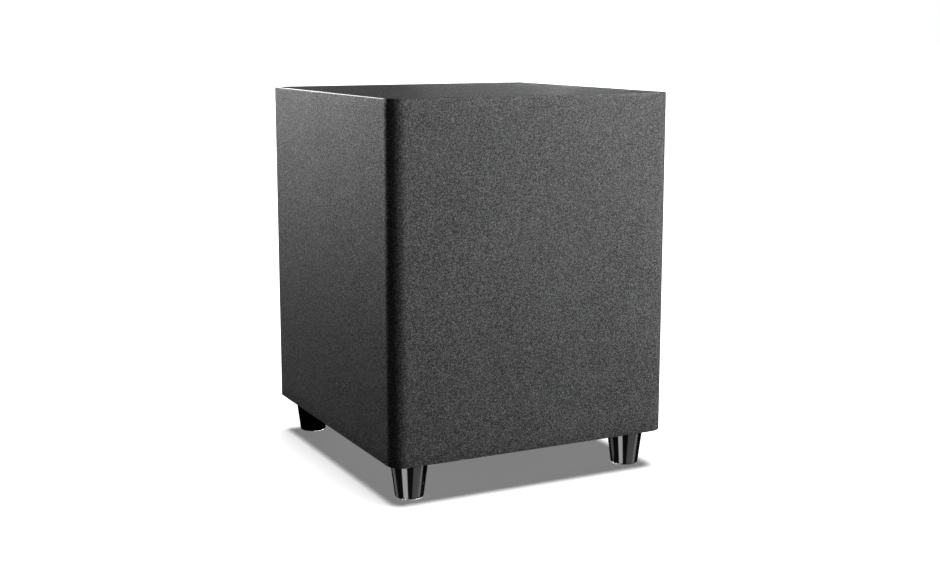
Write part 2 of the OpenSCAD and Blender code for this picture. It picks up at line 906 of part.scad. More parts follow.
// A slide switch's case behind the plate, with the hollow that its carriage slides in
module switch_case(place) {
    hollow_w = carriage_w + switch_travel + 2 * clear;
    color(steel)
        at_plate(place) {
            difference() {
                block_y(hollow_w + 3, carriage_h + 4, -switch_depth, 0);
                block_y(hollow_w, carriage_h + 2 * clear, -carriage_t - 2 * clear, past);
            }
            for (x = [-5, 0, 5]) translate([x, 0, 0]) block_y(1, 1, control_board_y, -switch_depth);
        }
}

// A slide switch's lever, at the left end of its travel as seen from the front
module switch_lever(place) {
    color(plastic)
        at_plate(place)
            translate([-switch_travel / 2, 0, 0]) {
                block_y(carriage_w, carriage_h, -clear - carriage_t, -clear);
                block_y(stem_w, stem_h, -clear - 1, plate_t + stem_out);
            }
}

module phase_switch() {
    switch_case(phase_at);
}

module phase_lever() {
    switch_lever(phase_at);
}

module mode_switch() {
    switch_case(mode_at);
}

module mode_lever() {
    switch_lever(mode_at);
}

module rocker_housing() {
    case_w = 13;
    case_h = 19;
    hollow_w = rocker_w + 2 * clear;
    hollow_h = rocker_len + 2;
    color(plastic)
        at_plate(rocker_at) {
            difference() {
                union() {
                    block_y(case_w, case_h, -14, plate_t);
                    block_y(15, 21, plate_t, plate_t + bezel_t);
                }
                block_y(hollow_w, hollow_h, -7, plate_t + bezel_t + past);
                translate([-case_w, rocker_y, 0]) rotate([0, 90, 0]) cylinder(r = rocker_pin_r + run, h = 2 * case_w);
            }
            for (z = [-5, 5]) translate([0, 0, z]) block_y(4.8, 0.8, -22, -14);
        }
}

// The rocker on its pin, with its upper end standing out
module power_rocker() {
    half = rocker_len / 2;
    pin_len = 12.6;
    side = [[3.6, half], [2.6, 0], [3.6, -half], [-2, -half + 1], [-4, 0], [-2, half - 1]];
    color(gloss_black)
        at_plate(rocker_at)
            translate([0, rocker_y, 0])
                rotate([-rocker_angle / 2, 0, 0]) {
                    translate([-rocker_w / 2, 0, 0]) rotate([90, 0, 90]) linear_extrude(rocker_w) polygon(side);
                    translate([-pin_len / 2, 0, 0]) rotate([0, 90, 0]) cylinder(r = rocker_pin_r, h = pin_len);
                }
}

// An appliance inlet: a flange with two ears and a deep socket
module mains_inlet() {
    half_w = 12.25;
    half_h = 8.25;
    cut = 4;
    socket_y = plate_t + ear_t - 17;
    mouth = [
        [-half_w, -half_h], [half_w, -half_h], [half_w, half_h - cut], [half_w - cut, half_h],
        [cut - half_w, half_h], [-half_w, half_h - cut]
    ];
    color(plastic)
        difference() {
            at_plate(inlet_at) {
                block_y(50, 24, plate_t, plate_t + ear_t);
                block_y(27.8, 20.2, socket_y - 5, plate_t);
            }
            at_plate(inlet_at)
                translate([0, plate_t + ear_t + past, 0])
                    rotate([90, 0, 0]) linear_extrude(17 + past) polygon(mouth);
            for (place = pin_at)
                at_plate(inlet_at + place) block_y(pin_size[0] + 2 * fit, pin_size[1] + 2 * fit, socket_y - 8, 0);
            at_inlet_screws() bar_y(1.6, 0, plate_t + ear_t + past);
        }
}

module inlet_pins() {
    socket_y = plate_t + ear_t - 17;
    color(brass)
        for (place = pin_at)
            at_plate(inlet_at + place) block_y(pin_size[0], pin_size[1], socket_y - 12, plate_t + ear_t - 2.5);
}

// Two phono sockets: an insulating body through the plate, and a metal sleeve on each
module rca_jacks() {
    core_r = jack_r - 0.65;
    collar = plate_t + 1.5;
    for (place = rca_at) {
        color(plastic)
            at_plate(place)
                difference() {
                    union() {
                        bar_y(5.5, control_board_y, plate_t);
                        bar_y(6.5, plate_t, collar);
                        bar_y(core_r - fit, collar, collar + jack_out - 1);
                    }
                    bar_y(1.6, collar - 6, collar + jack_out);
                }
        color(brass)
            at_plate(place)
                difference() {
                    bar_y(jack_r, collar, collar + jack_out);
                    bar_y(core_r, collar - past, collar + jack_out + past);
                }
    }
}

module status_light() {
    color("#b8d8ff")
        at_plate(light_at) {
            bar_y(1.5, control_board_y, plate_t);
            translate([0, plate_t, 0])
                intersection() {
                    sphere(r = 1.5);
                    block_y(4, 4, 0, 4);
                }
        }
}

module speaker_lead() {
    color(rubber)
        at_driver()
            for (side = [0, 1])
                mirror([side, 0, 0]) cord(smooth_route(lead_route, 5), lead_r);
}

top_panel();
bottom_panel();
front_panel();
left_panel();
right_panel();
rear_panel();
corner_battens();
wadding();
foot(-foot_x, foot_y_front);  // foot_front_left
foot(foot_x, foot_y_front);  // foot_front_right
foot(-foot_x, foot_y_rear);  // foot_rear_left
foot(foot_x, foot_y_rear);  // foot_rear_right
foot_pad(-foot_x, foot_y_front);  // foot_pad_front_left
foot_pad(foot_x, foot_y_front);  // foot_pad_front_right
foot_pad(-foot_x, foot_y_rear);  // foot_pad_rear_left
foot_pad(foot_x, foot_y_rear);  // foot_pad_rear_right
foot_screws();
foot_inserts();
basket();
flange_gasket();
surround();
cone();
dust_cap();
coil_former();
coil_winding();
spider();
top_plate();
ring_magnet();
pole_plate();
terminal_board();
tinsel_leads();
driver_screws();
port_flare();
port_tube();
amp_plate();
amp_gasket();
amp_box();
amp_screws();
circuit_boards();
transformer();
capacitors();
heat_bracket();
transistors();
level_pot();
level_shaft();
level_knob();
crossover_pot();
crossover_shaft();
crossover_knob();
phase_switch();
phase_lever();
mode_switch();
mode_lever();
rocker_housing();
power_rocker();
mains_inlet();
inlet_pins();
rca_jacks();
status_light();
speaker_lead();
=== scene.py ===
"""The looks of a powered subwoofer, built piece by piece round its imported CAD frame.

Shapes are worked out in millimetres in the frame's own axes and written to the meshes in metres. A
sub-assembly is a class, a finish is a frozen dataclass, and main() builds them in order.
"""

import sys

import json
import logging
import math
from dataclasses import dataclass
from enum import Enum
from typing import ClassVar

import bmesh
import bpy
import numpy as np
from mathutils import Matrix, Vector

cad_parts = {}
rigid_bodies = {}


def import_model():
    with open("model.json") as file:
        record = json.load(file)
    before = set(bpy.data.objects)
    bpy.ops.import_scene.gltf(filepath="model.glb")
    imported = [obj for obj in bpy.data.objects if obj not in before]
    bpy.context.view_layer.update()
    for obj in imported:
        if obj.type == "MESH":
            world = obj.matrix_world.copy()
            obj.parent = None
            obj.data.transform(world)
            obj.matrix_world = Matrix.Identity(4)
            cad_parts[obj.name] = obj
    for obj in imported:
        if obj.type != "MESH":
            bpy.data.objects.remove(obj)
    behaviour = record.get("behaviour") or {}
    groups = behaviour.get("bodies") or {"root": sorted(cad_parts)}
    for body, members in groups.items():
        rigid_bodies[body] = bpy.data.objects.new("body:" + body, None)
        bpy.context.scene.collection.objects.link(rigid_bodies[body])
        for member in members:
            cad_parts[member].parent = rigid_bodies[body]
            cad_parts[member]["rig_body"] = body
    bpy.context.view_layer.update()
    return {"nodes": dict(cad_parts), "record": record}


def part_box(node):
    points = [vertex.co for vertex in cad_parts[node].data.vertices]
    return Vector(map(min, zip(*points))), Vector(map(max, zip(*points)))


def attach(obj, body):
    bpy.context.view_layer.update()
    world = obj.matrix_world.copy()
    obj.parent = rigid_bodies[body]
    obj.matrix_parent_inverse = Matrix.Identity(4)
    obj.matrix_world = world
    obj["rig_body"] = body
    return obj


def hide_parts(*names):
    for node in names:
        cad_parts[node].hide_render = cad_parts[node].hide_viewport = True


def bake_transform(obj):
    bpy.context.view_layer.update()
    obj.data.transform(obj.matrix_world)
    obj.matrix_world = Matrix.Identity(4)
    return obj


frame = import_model()

MM = 0.001
FIT = 0.05  # clearance between two turned pieces that meet, in millimetres
LOG = logging.getLogger("subwoofer")
Array = np.ndarray
Colour = tuple[float, float, float]


# ---- Shapes ----


class Axis(Enum):
    """The axis that a shape stands along, as the order in which its own columns become X, Y and Z."""

    X = (2, 0, 1)
    Y = (0, 2, 1)
    Z = (0, 1, 2)


@dataclass
class Shape:
    """Points in millimetres and the polygons between them.

    Attributes:
        points: One row of X, Y and Z for each point.
        faces: Arrays of point numbers, one row for each polygon.
    """

    points: Array
    faces: list[Array]

    @staticmethod
    def grid(points: Array, wrap_rows: bool = False, wrap_cols: bool = True, caps: bool = False) -> "Shape":
        """Joins a grid of points with quads: each point to the next in its row and in its column.

        Args:
            points: Rows by columns by three.
            wrap_rows: Whether the last row joins the first.
            wrap_cols: Whether the last column joins the first.
            caps: Whether the first and the last row are closed with one polygon each.

        Returns:
            The surface as a shape.
        """
        rows, cols = points.shape[:2]
        index = np.arange(rows * cols).reshape(rows, cols)
        here, below = (index, np.roll(index, -1, 0)) if wrap_rows else (index[:-1], index[1:])
        if wrap_cols:
            here_next, below_next = np.roll(here, -1, 1), np.roll(below, -1, 1)
        else:
            here, here_next = here[:, :-1], here[:, 1:]
            below, below_next = below[:, :-1], below[:, 1:]
        faces = [np.stack([here, here_next, below_next, below], -1).reshape(-1, 4)]
        if caps:
            faces += [index[:1, ::-1], index[-1:]]
        return Shape(points.reshape(-1, 3).astype(float), faces)

    def moved(self, offset: Array) -> "Shape":
        """The shape shifted by one offset."""
        return Shape(self.points + np.asarray(offset, float), self.faces)

    def turned(self, angle: float, about: Array, columns: tuple[int, int]) -> "Shape":
        """Turns the shape in the plane of two of its columns.

        Args:
            angle: Radians, from the first column towards the second.
            about: The point that stays in place.
            columns: The two columns of the points that change.

        Returns:
            The turned shape.
        """
        i, j = columns
        points = self.points - about
        turned = points.copy()
        turned[:, i] = points[:, i] * np.cos(angle) - points[:, j] * np.sin(angle)
        turned[:, j] = points[:, i] * np.sin(angle) + points[:, j] * np.cos(angle)
        return Shape(turned + about, self.faces)

    def repeated(self, offsets: Array) -> "Shape":
        """Copies the shape to each of several places.

        Args:
            offsets: One row of three for each copy.

        Returns:
            All the copies as one shape.
        """
        offsets = np.asarray(offsets, float)
        count = len(self.points)
        points = (self.points[None] + offsets[:, None]).reshape(-1, 3)
        steps = (np.arange(len(offsets)) * count)[:, None, None]
        return Shape(points, [(f[None] + steps).reshape(-1, f.shape[1]) for f in self.faces])

    def joined(self, *others: "Shape") -> "Shape":
        """This shape and others as one shape, each still closed by itself."""
        points, faces = [self.points], list(self.faces)
        start = len(self.points)
        for other in others:
            faces += [f + start for f in other.faces]
            points.append(other.points)
            start += len(other.points)
        return Shape(np.vstack(points), faces)


def stand(u: Array, v: Array, w: Array, axis: Axis, centre: Array) -> Array:
    """Puts a shape's own coordinates, with w along its axis, into the frame's X, Y and Z.

    Args:
        u: First coordinate across the axis.
        v: Second coordinate across the axis.
        w: Coordinate along the axis.
        axis: The frame's axis that w runs along.
        centre: The point in the frame where all three are zero.

    Returns:
        The points, with one more dimension of three.
    """
    local = np.stack(np.broadcast_arrays(u, v, w), -1)
    return local[..., list(axis.value)] + np.asarray(centre, float)


def revolve(profile: Array, axis: Axis, centre: Array, segments: int = 96, closed: bool = True) -> Shape:
    """Turns a profile about an axis: a point at radius r and height h becomes (r cos t, r sin t, h).

    Args:
        profile: Rows of radius and height, in order along the section's outline.
        axis: The frame's axis to turn about.
        centre: The point on the axis where the height is zero.
        segments: Steps round the circle.
        closed: Whether the outline's last point joins its first.

    Returns:
        The turned surface.
    """
    profile = np.asarray(profile, float)
    turn = np.linspace(0, 2 * np.pi, segments, endpoint=False)
    r, h = profile[:, :1], profile[:, 1:]
    return Shape.grid(stand(r * np.cos(turn), r * np.sin(turn), h, axis, centre), wrap_rows=closed)


def unit(vectors: Array) -> Array:
    """Each vector divided by its length, and zero vectors left alone."""
    length = np.linalg.norm(vectors, axis=-1, keepdims=True)
    return vectors / np.where(length > 1e-12, length, 1)


def fillet(outline: Array, radii: Array | float, steps: int = 5) -> Array:
    """Rounds the corners of a closed outline with arcs that touch both sides of each corner.

    With half the corner's angle g, an arc of radius r starts and ends r / tan g from the corner, and
    its centre is r / sin g along the line that halves the corner.

    Args:
        outline: Rows of two coordinates.
        radii: One radius, or one for each corner.
        steps: Straight pieces in each arc.

    Returns:
        The outline with each corner replaced by steps + 1 points.
    """
    outline = np.asarray(outline, float)
    radii = np.broadcast_to(np.asarray(radii, float), (len(outline),))[:, None]
    back, ahead = unit(np.roll(outline, 1, 0) - outline), unit(np.roll(outline, -1, 0) - outline)
    half = np.arccos(np.clip((back * ahead).sum(-1, keepdims=True), -1, 1)) / 2
    live = (radii > 0) & (half < np.pi / 2 - 1e-4)
    safe = np.where(live, half, 1.0)
    radius = np.where(live, radii, 1.0)
    middle = outline + unit(back + ahead) * radius / np.sin(safe)
    start = (outline + back * radius / np.tan(safe) - middle) / radius
    end = (outline + ahead * radius / np.tan(safe) - middle) / radius
    sweep = (np.pi - 2 * safe)[:, None]
    share = np.linspace(0, 1, steps + 1)[None, :, None]
    from_start, from_end = np.sin((1 - share) * sweep), np.sin(share * sweep)
    arc = (from_start * start[:, None] + from_end * end[:, None]) / np.sin(sweep)
    rounded = middle[:, None] + radius[:, None] * arc
    corners = np.broadcast_to(outline[:, None], rounded.shape)
    return np.where(live[:, None], rounded, corners).reshape(-1, 2)


def inset(outline: Array, distance: float) -> Array:
    """Moves an anticlockwise outline inwards by a distance, along the mitre of each corner.

    Args:
        outline: Rows of two coordinates, anticlockwise.
        distance: How far each side moves.

    Returns:
        The smaller outline, with as many points.
    """
    along = unit(np.roll(outline, -1, 0) - outline)
    has_length = np.linalg.norm(along, axis=-1) > 0.5
    last_with_length = np.maximum.accumulate(np.where(has_length, np.arange(len(outline)), -1))
    along = along[last_with_length]
    inward = np.stack([-along[:, 1], along[:, 0]], -1)
    before = np.roll(inward, 1, 0)
    mitre = (inward + before) / (1 + (inward * before).sum(-1, keepdims=True))
    return outline + distance * mitre


def levels(low: float, high: float, round_low: float = 0.0, round_high: float = 0.0, steps: int = 4) -> Array:
    """The rows of inset and height that carry an outline from low to high with rounded rims.

    Args:
        low: Height of the first face.
        high: Height of the last face.
        round_low: Radius of the rim at the first face.
        round_high: Radius of the rim at the last face.
        steps: Straight pieces in each rim.

    Returns:
        Rows of inset and height.
    """
    a = np.linspace(0, np.pi / 2, steps + 1)
    bottom = np.stack([round_low * (1 - np.sin(a)), low + round_low * (1 - np.cos(a))], -1)
    top = np.stack([round_high * (1 - np.cos(a)), high - round_high * (1 - np.sin(a))], -1)
    return np.vstack([bottom if round_low else bottom[:1], top if round_high else top[-1:]])


def slab(outline: Array, rows: Array, axis: Axis, centre: Array = (0, 0, 0)) -> Shape:
    """Carries an outline along an axis, set in by each row's inset, and closes both ends.

    Args:
        outline: Rows of two coordinates, anticlockwise.
        rows: Rows of inset and height, as levels() gives.
        axis: The frame's axis that the heights run along.
        centre: The point in the frame where the outline's origin is, at height zero.

    Returns:
        The closed solid.
    """
    rings = [
        stand(ring[:, 0], ring[:, 1], np.full(len(ring), height), axis, centre)
        for ring, height in ((inset(outline, back), height) for back, height in rows)
    ]
    return Shape.grid(np.array(rings), caps=True)


def oblong(width: float, height: float, radius: float = 0.0, steps: int = 5) -> Array:
    """A rectangle about the origin, with its corners rounded."""
    half = np.array([width, height]) / 2
    return fillet(rectangle(-half, half), radius, steps)


def thick_line(path: Array, thickness: float) -> Array:
    """A closed outline round an open line: the line moved half the thickness to each side of itself.

    Args:
        path: Rows of two coordinates.
        thickness: Distance between the two sides.

    Returns:
        The outline, out along one side and back along the other.
    """
    along = unit(np.gradient(path, axis=0))
    normal = np.stack([-along[:, 1], along[:, 0]], -1) * thickness / 2
    return np.vstack([path + normal, (path - normal)[::-1]])


def soften_line(path: Array, rounds: int = 2) -> Array:
    """Cuts the corners of an open line: each piece keeps the points at a quarter and three quarters."""
    for _ in range(rounds):
        near, far = 0.75 * path[:-1] + 0.25 * path[1:], 0.25 * path[:-1] + 0.75 * path[1:]
        path = np.vstack([path[:1], np.stack([near, far], 1).reshape(-1, path.shape[1]), path[-1:]])
    return path


def smooth_route(points: Array, steps: int) -> Array:
    """The Catmull-Rom curve through some points: at share t between b and c, with a before and d after,
    it is b and half of (c - a) t + (2a - 5b + 4c - d) t^2 + (3b - a - 3c + d) t^3.

    Args:
        points: Rows of three coordinates.
        steps: Points of the curve for each gap between two of them.

    Returns:
        The curve's points.
    """
    p = np.vstack([points[:1], points, points[-1:]])
    a, b, c, d = p[:-3, None], p[1:-2, None], p[2:-1, None], p[3:, None]
    t = (np.arange(steps) / steps)[None, :, None]
    curve = b + 0.5 * ((c - a) * t + (2 * a - 5 * b + 4 * c - d) * t**2 + (3 * b - a - 3 * c + d) * t**3)
    return np.vstack([curve.reshape(-1, 3), points[-1:]])


def cord_shape(route: Array, radius: float, sides: int = 16, strands: int = 0, lay: float = 4.0) -> Shape:
    """A round cord along a route that never runs along X, with closed ends.

    A twisted cord has its radius swelled by a share of |sin| of half the strands times the angle plus
    the turn along the lay.

    Args:
        route: Rows of three coordinates.
        radius: Radius of the cord.
        sides: Points round the cord.
        strands: Number of twisted strands, or 0 for a smooth jacket.
        lay: Length of one full twist.

    Returns:
        The cord's closed surface.
    """
    ahead = unit(np.gradient(route, axis=0))
    across = unit(np.cross(ahead, [1.0, 0.0, 0.0]))
    up = np.cross(ahead, across)
    travelled = np.r_[0, np.cumsum(np.linalg.norm(np.diff(route, axis=0), axis=1))][:, None]
    turn = np.linspace(0, 2 * np.pi, sides, endpoint=False)[None]
    swell = np.abs(np.sin(0.5 * strands * turn + np.pi * travelled / lay)) if strands else np.ones((1, 1))
    r = (radius * (0.82 + 0.18 * swell))[..., None]
    ring = np.cos(turn)[..., None] * across[:, None] + np.sin(turn)[..., None] * up[:, None]
    return Shape.grid(route[:, None] + r * ring, caps=True)


@dataclass(frozen=True)
class Extent:
    """The box round a CAD node, in millimetres.

    Attributes:
        low: Its lowest corner.
        high: Its highest corner.
    """

    low: Array
    high: Array

    @staticmethod
    def of(node: str) -> "Extent":
        """The box of one node."""
        low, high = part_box(node)
        return Extent(np.array(low) / MM, np.array(high) / MM)

    @property
    def mid(self) -> Array:
        """The middle of the box."""
        return (self.low + self.high) / 2

    @property
    def radius(self) -> float:
        """Half the width along X, which is the radius of a round part that doesn't lie along X."""
        return (self.high[0] - self.low[0]) / 2

    def axis_y(self) -> Array:
        """The point at Y zero on the axis of a part that stands along Y."""
        return self.mid * [1, 0, 1]

    def axis_z(self) -> Array:
        """The point at Z zero on the axis of a part that stands along Z."""
        return self.mid * [1, 1, 0]


def rectangle(low: Array, high: Array) -> Array:
    """The corners of a rectangle, anticlockwise from its lowest one."""
    return np.array([[low[0], low[1]], [high[0], low[1]], [high[0], high[1]], [low[0], high[1]]])


def circle(radius: float, steps: int) -> Array:
    """Points round a circle about the origin, anticlockwise from the first axis."""
    turn = np.linspace(0, 2 * np.pi, steps, endpoint=False)
    return radius * np.stack([np.cos(turn), np.sin(turn)], -1)


# ---- Finishes ----


class Pattern(Enum):
    """The fine structure of a finish."""

    PEBBLE = "raised grains with dark valleys"
    MOULDED = "fine spark-eroded plastic"
    POWDER = "orange peel of powder coating"
    BRUSHED = "straight fine scratches"
    WEAVE = "crossing threads"
    FIBRE = "matted fibres"
    WOOD = "long grain"


class MaterialNodes:
    """Adds and joins the nodes of one material."""

    def __init__(self, name: str) -> None:
        """Starts an empty material of that name."""
        self.material = bpy.data.materials.new(name)
        self.material.use_nodes = True
        self.tree = self.material.node_tree
        self.tree.nodes.clear()

    def add(
        self, kind: str, values: dict[str | int, object] | None = None, **settings: object
    ) -> bpy.types.Node:
        """Adds one node.

        Args:
            kind: Blender's name for the type of node.
            values: For each input, a number, a colour or an output socket of another node.
            settings: The node's own properties.

        Returns:
            The new node.
        """
        node = self.tree.nodes.new(kind)
        for key, value in settings.items():
            setattr(node, key, value)
        for key, value in (values or {}).items():
            if isinstance(value, bpy.types.NodeSocket):
                self.tree.links.new(value, node.inputs[key])
            else:
                node.inputs[key].default_value = value
        return node

    def math(self, operation: str, a: object, b: object = 0.0) -> object:
        """The result of one Math node."""
        return self.add("ShaderNodeMath", {0: a, 1: b}, operation=operation).outputs[0]

    def noise(self, vector: object, scale: float, detail: float = 2.0, rough: float = 0.5) -> object:
        """The value of a Noise Texture."""
        values = {"Vector": vector, "Scale": scale, "Detail": detail, "Roughness": rough}
        return self.add("ShaderNodeTexNoise", values).outputs[0]

    def span(
        self, value: object, low: float, high: float, to_low: float = 0.0, to_high: float = 1.0
    ) -> object:
        """A value moved from one range to another and clamped to it."""
        values = {"Value": value, "From Min": low, "From Max": high, "To Min": to_low, "To Max": to_high}
        return self.add("ShaderNodeMapRange", values).outputs[0]


@dataclass(frozen=True)
class Finish:
    """One surface finish: two tones, a fine pattern that moves between them, and how it shines.

    Attributes:
        dark: Colour of the pattern's valleys.
        light: Colour of its peaks.
        rough: Roughness of the valleys and of the peaks.
        pattern: Which fine structure it has.
        pitch: Size of that structure, in millimetres.
        relief: Height of its bumps, in millimetres.
        cloud: Share of the colour that varies slowly instead.
        cloud_size: Size of that slow variation, in millimetres.
        stretch: How much the pattern is drawn out along X, Y and Z.
        metallic: 1 for bare metal.
        specular: The shader's specular level.
        coat: Weight of a clear coat.
        coat_rough: Roughness of the clear coat.
        sheen: Weight of the sheen of fibres or rubber dust.
        transmission: Share of light that passes through.
        polished: Roughness where a piece's own polish attribute is 1, or 0 for a finish without it.
        contrast: Exponent of each grain's own tone: the higher it is, the fewer light grains.
    """

    dark: Colour
    light: Colour
    rough: tuple[float, float]
    pattern: Pattern
    pitch: float
    relief: float
    cloud: float = 0.2
    cloud_size: float = 40.0
    stretch: tuple[float, float, float] = (1.0, 1.0, 1.0)
    metallic: float = 0.0
    specular: float = 0.5
    coat: float = 0.0
    coat_rough: float = 0.1
    sheen: float = 0.0
    transmission: float = 0.0
    polished: float = 0.0
    contrast: float = 2.6

    def height(self, nodes: MaterialNodes, place: object) -> tuple[object, object]:
        """The pattern's height, and its share of the lighter tone, both from 0 to 1.

        Args:
            nodes: The material's nodes.
            place: The socket with the Object coordinates, drawn out by stretch.

        Returns:
            The two sockets, which are the same one unless the grains differ in tone.
        """
        per_m = 1000 / self.pitch
        if self.pattern is Pattern.PEBBLE:
            cell = nodes.add("ShaderNodeTexVoronoi", {"Vector": place, "Scale": per_m, "Randomness": 1.0})
            own = nodes.add("ShaderNodeSeparateColor", {0: cell.outputs["Color"]}).outputs[0]
            dome = nodes.span(cell.outputs["Distance"], 0.75, 0.1)
            grain = nodes.math("MULTIPLY", dome, nodes.span(own, 0.0, 1.0, 0.25, 0.8))
            swell = nodes.span(nodes.noise(place, 0.8 * per_m, 1.0), 0.3, 0.7)
            height = nodes.math("ADD", grain, nodes.math("MULTIPLY", swell, 0.2))
            return height, nodes.math("POWER", own, self.contrast)
        if self.pattern is Pattern.WEAVE:
            parts = nodes.add("ShaderNodeSeparateXYZ", {0: place}).outputs
            angles = [nodes.math("MULTIPLY", part, 2 * math.pi * per_m) for part in parts[:2]]
            waves = [nodes.math("SINE", angle) for angle in angles]
            height = nodes.span(nodes.math("MULTIPLY", waves[0], waves[1]), -1.0, 1.0)
        elif self.pattern is Pattern.WOOD:
            fine = nodes.math("MULTIPLY", nodes.noise(place, 6 * per_m, 2.0, 0.6), 0.35)
            height = nodes.span(nodes.math("ADD", nodes.noise(place, per_m, 4.0, 0.65), fine), 0.45, 0.9)
        else:
            detail, rough = {
                Pattern.MOULDED: (3.0, 0.6),
                Pattern.POWDER: (2.0, 0.45),
                Pattern.BRUSHED: (4.0, 0.7),
                Pattern.FIBRE: (6.0, 0.75),
            }[self.pattern]
            height = nodes.span(nodes.noise(place, per_m, detail, rough), 0.3, 0.7)
        return height, height

    def build(self, name: str) -> bpy.types.Material:
        """Makes the material, with its colour, roughness and bumps all from one height.

        Args:
            name: Name of the material.

        Returns:
            The material.
        """
        nodes = MaterialNodes(name)
        coords = nodes.add("ShaderNodeTexCoord").outputs["Object"]
        scale = tuple(1 / s for s in self.stretch)
        place = nodes.add("ShaderNodeMapping", {"Vector": coords, "Scale": scale}).outputs[0]
        height, own_tone = self.height(nodes, place)
        cloud = nodes.span(nodes.noise(coords, 1000 / self.cloud_size, 3.0), 0.35, 0.65)
        kept = nodes.math("MULTIPLY", own_tone, 1 - self.cloud)
        share = nodes.math("ADD", kept, nodes.math("MULTIPLY", cloud, self.cloud))
        tone = nodes.add("ShaderNodeMix", data_type="RGBA")
        nodes.tree.links.new(share, tone.inputs[0])
        tone.inputs[6].default_value = (*self.dark, 1)
        tone.inputs[7].default_value = (*self.light, 1)
        rough = nodes.span(share, 0.0, 1.0, *self.rough)
        if self.polished:
            polish = nodes.add("ShaderNodeAttribute", attribute_name="polish").outputs["Fac"]
            kept = nodes.math("SUBTRACT", 1.0, polish)
            worn = nodes.math("MULTIPLY", polish, self.polished)
            rough = nodes.math("ADD", nodes.math("MULTIPLY", rough, kept), worn)
            height = nodes.math("MULTIPLY", height, kept)
        bump = {"Height": height, "Strength": 1.0, "Distance": self.relief * MM}
        shader = nodes.add(
            "ShaderNodeBsdfPrincipled",
            {
                "Base Color": tone.outputs[2],
                "Roughness": rough,
                "Normal": nodes.add("ShaderNodeBump", bump).outputs[0],
                "Metallic": self.metallic,
                "Specular IOR Level": self.specular,
                "Coat Weight": self.coat,
                "Coat Roughness": self.coat_rough,
                "Sheen Weight": self.sheen,
                "Transmission Weight": self.transmission,
            },
        )
        nodes.add("ShaderNodeOutputMaterial", {"Surface": shader.outputs[0]})
        return nodes.material


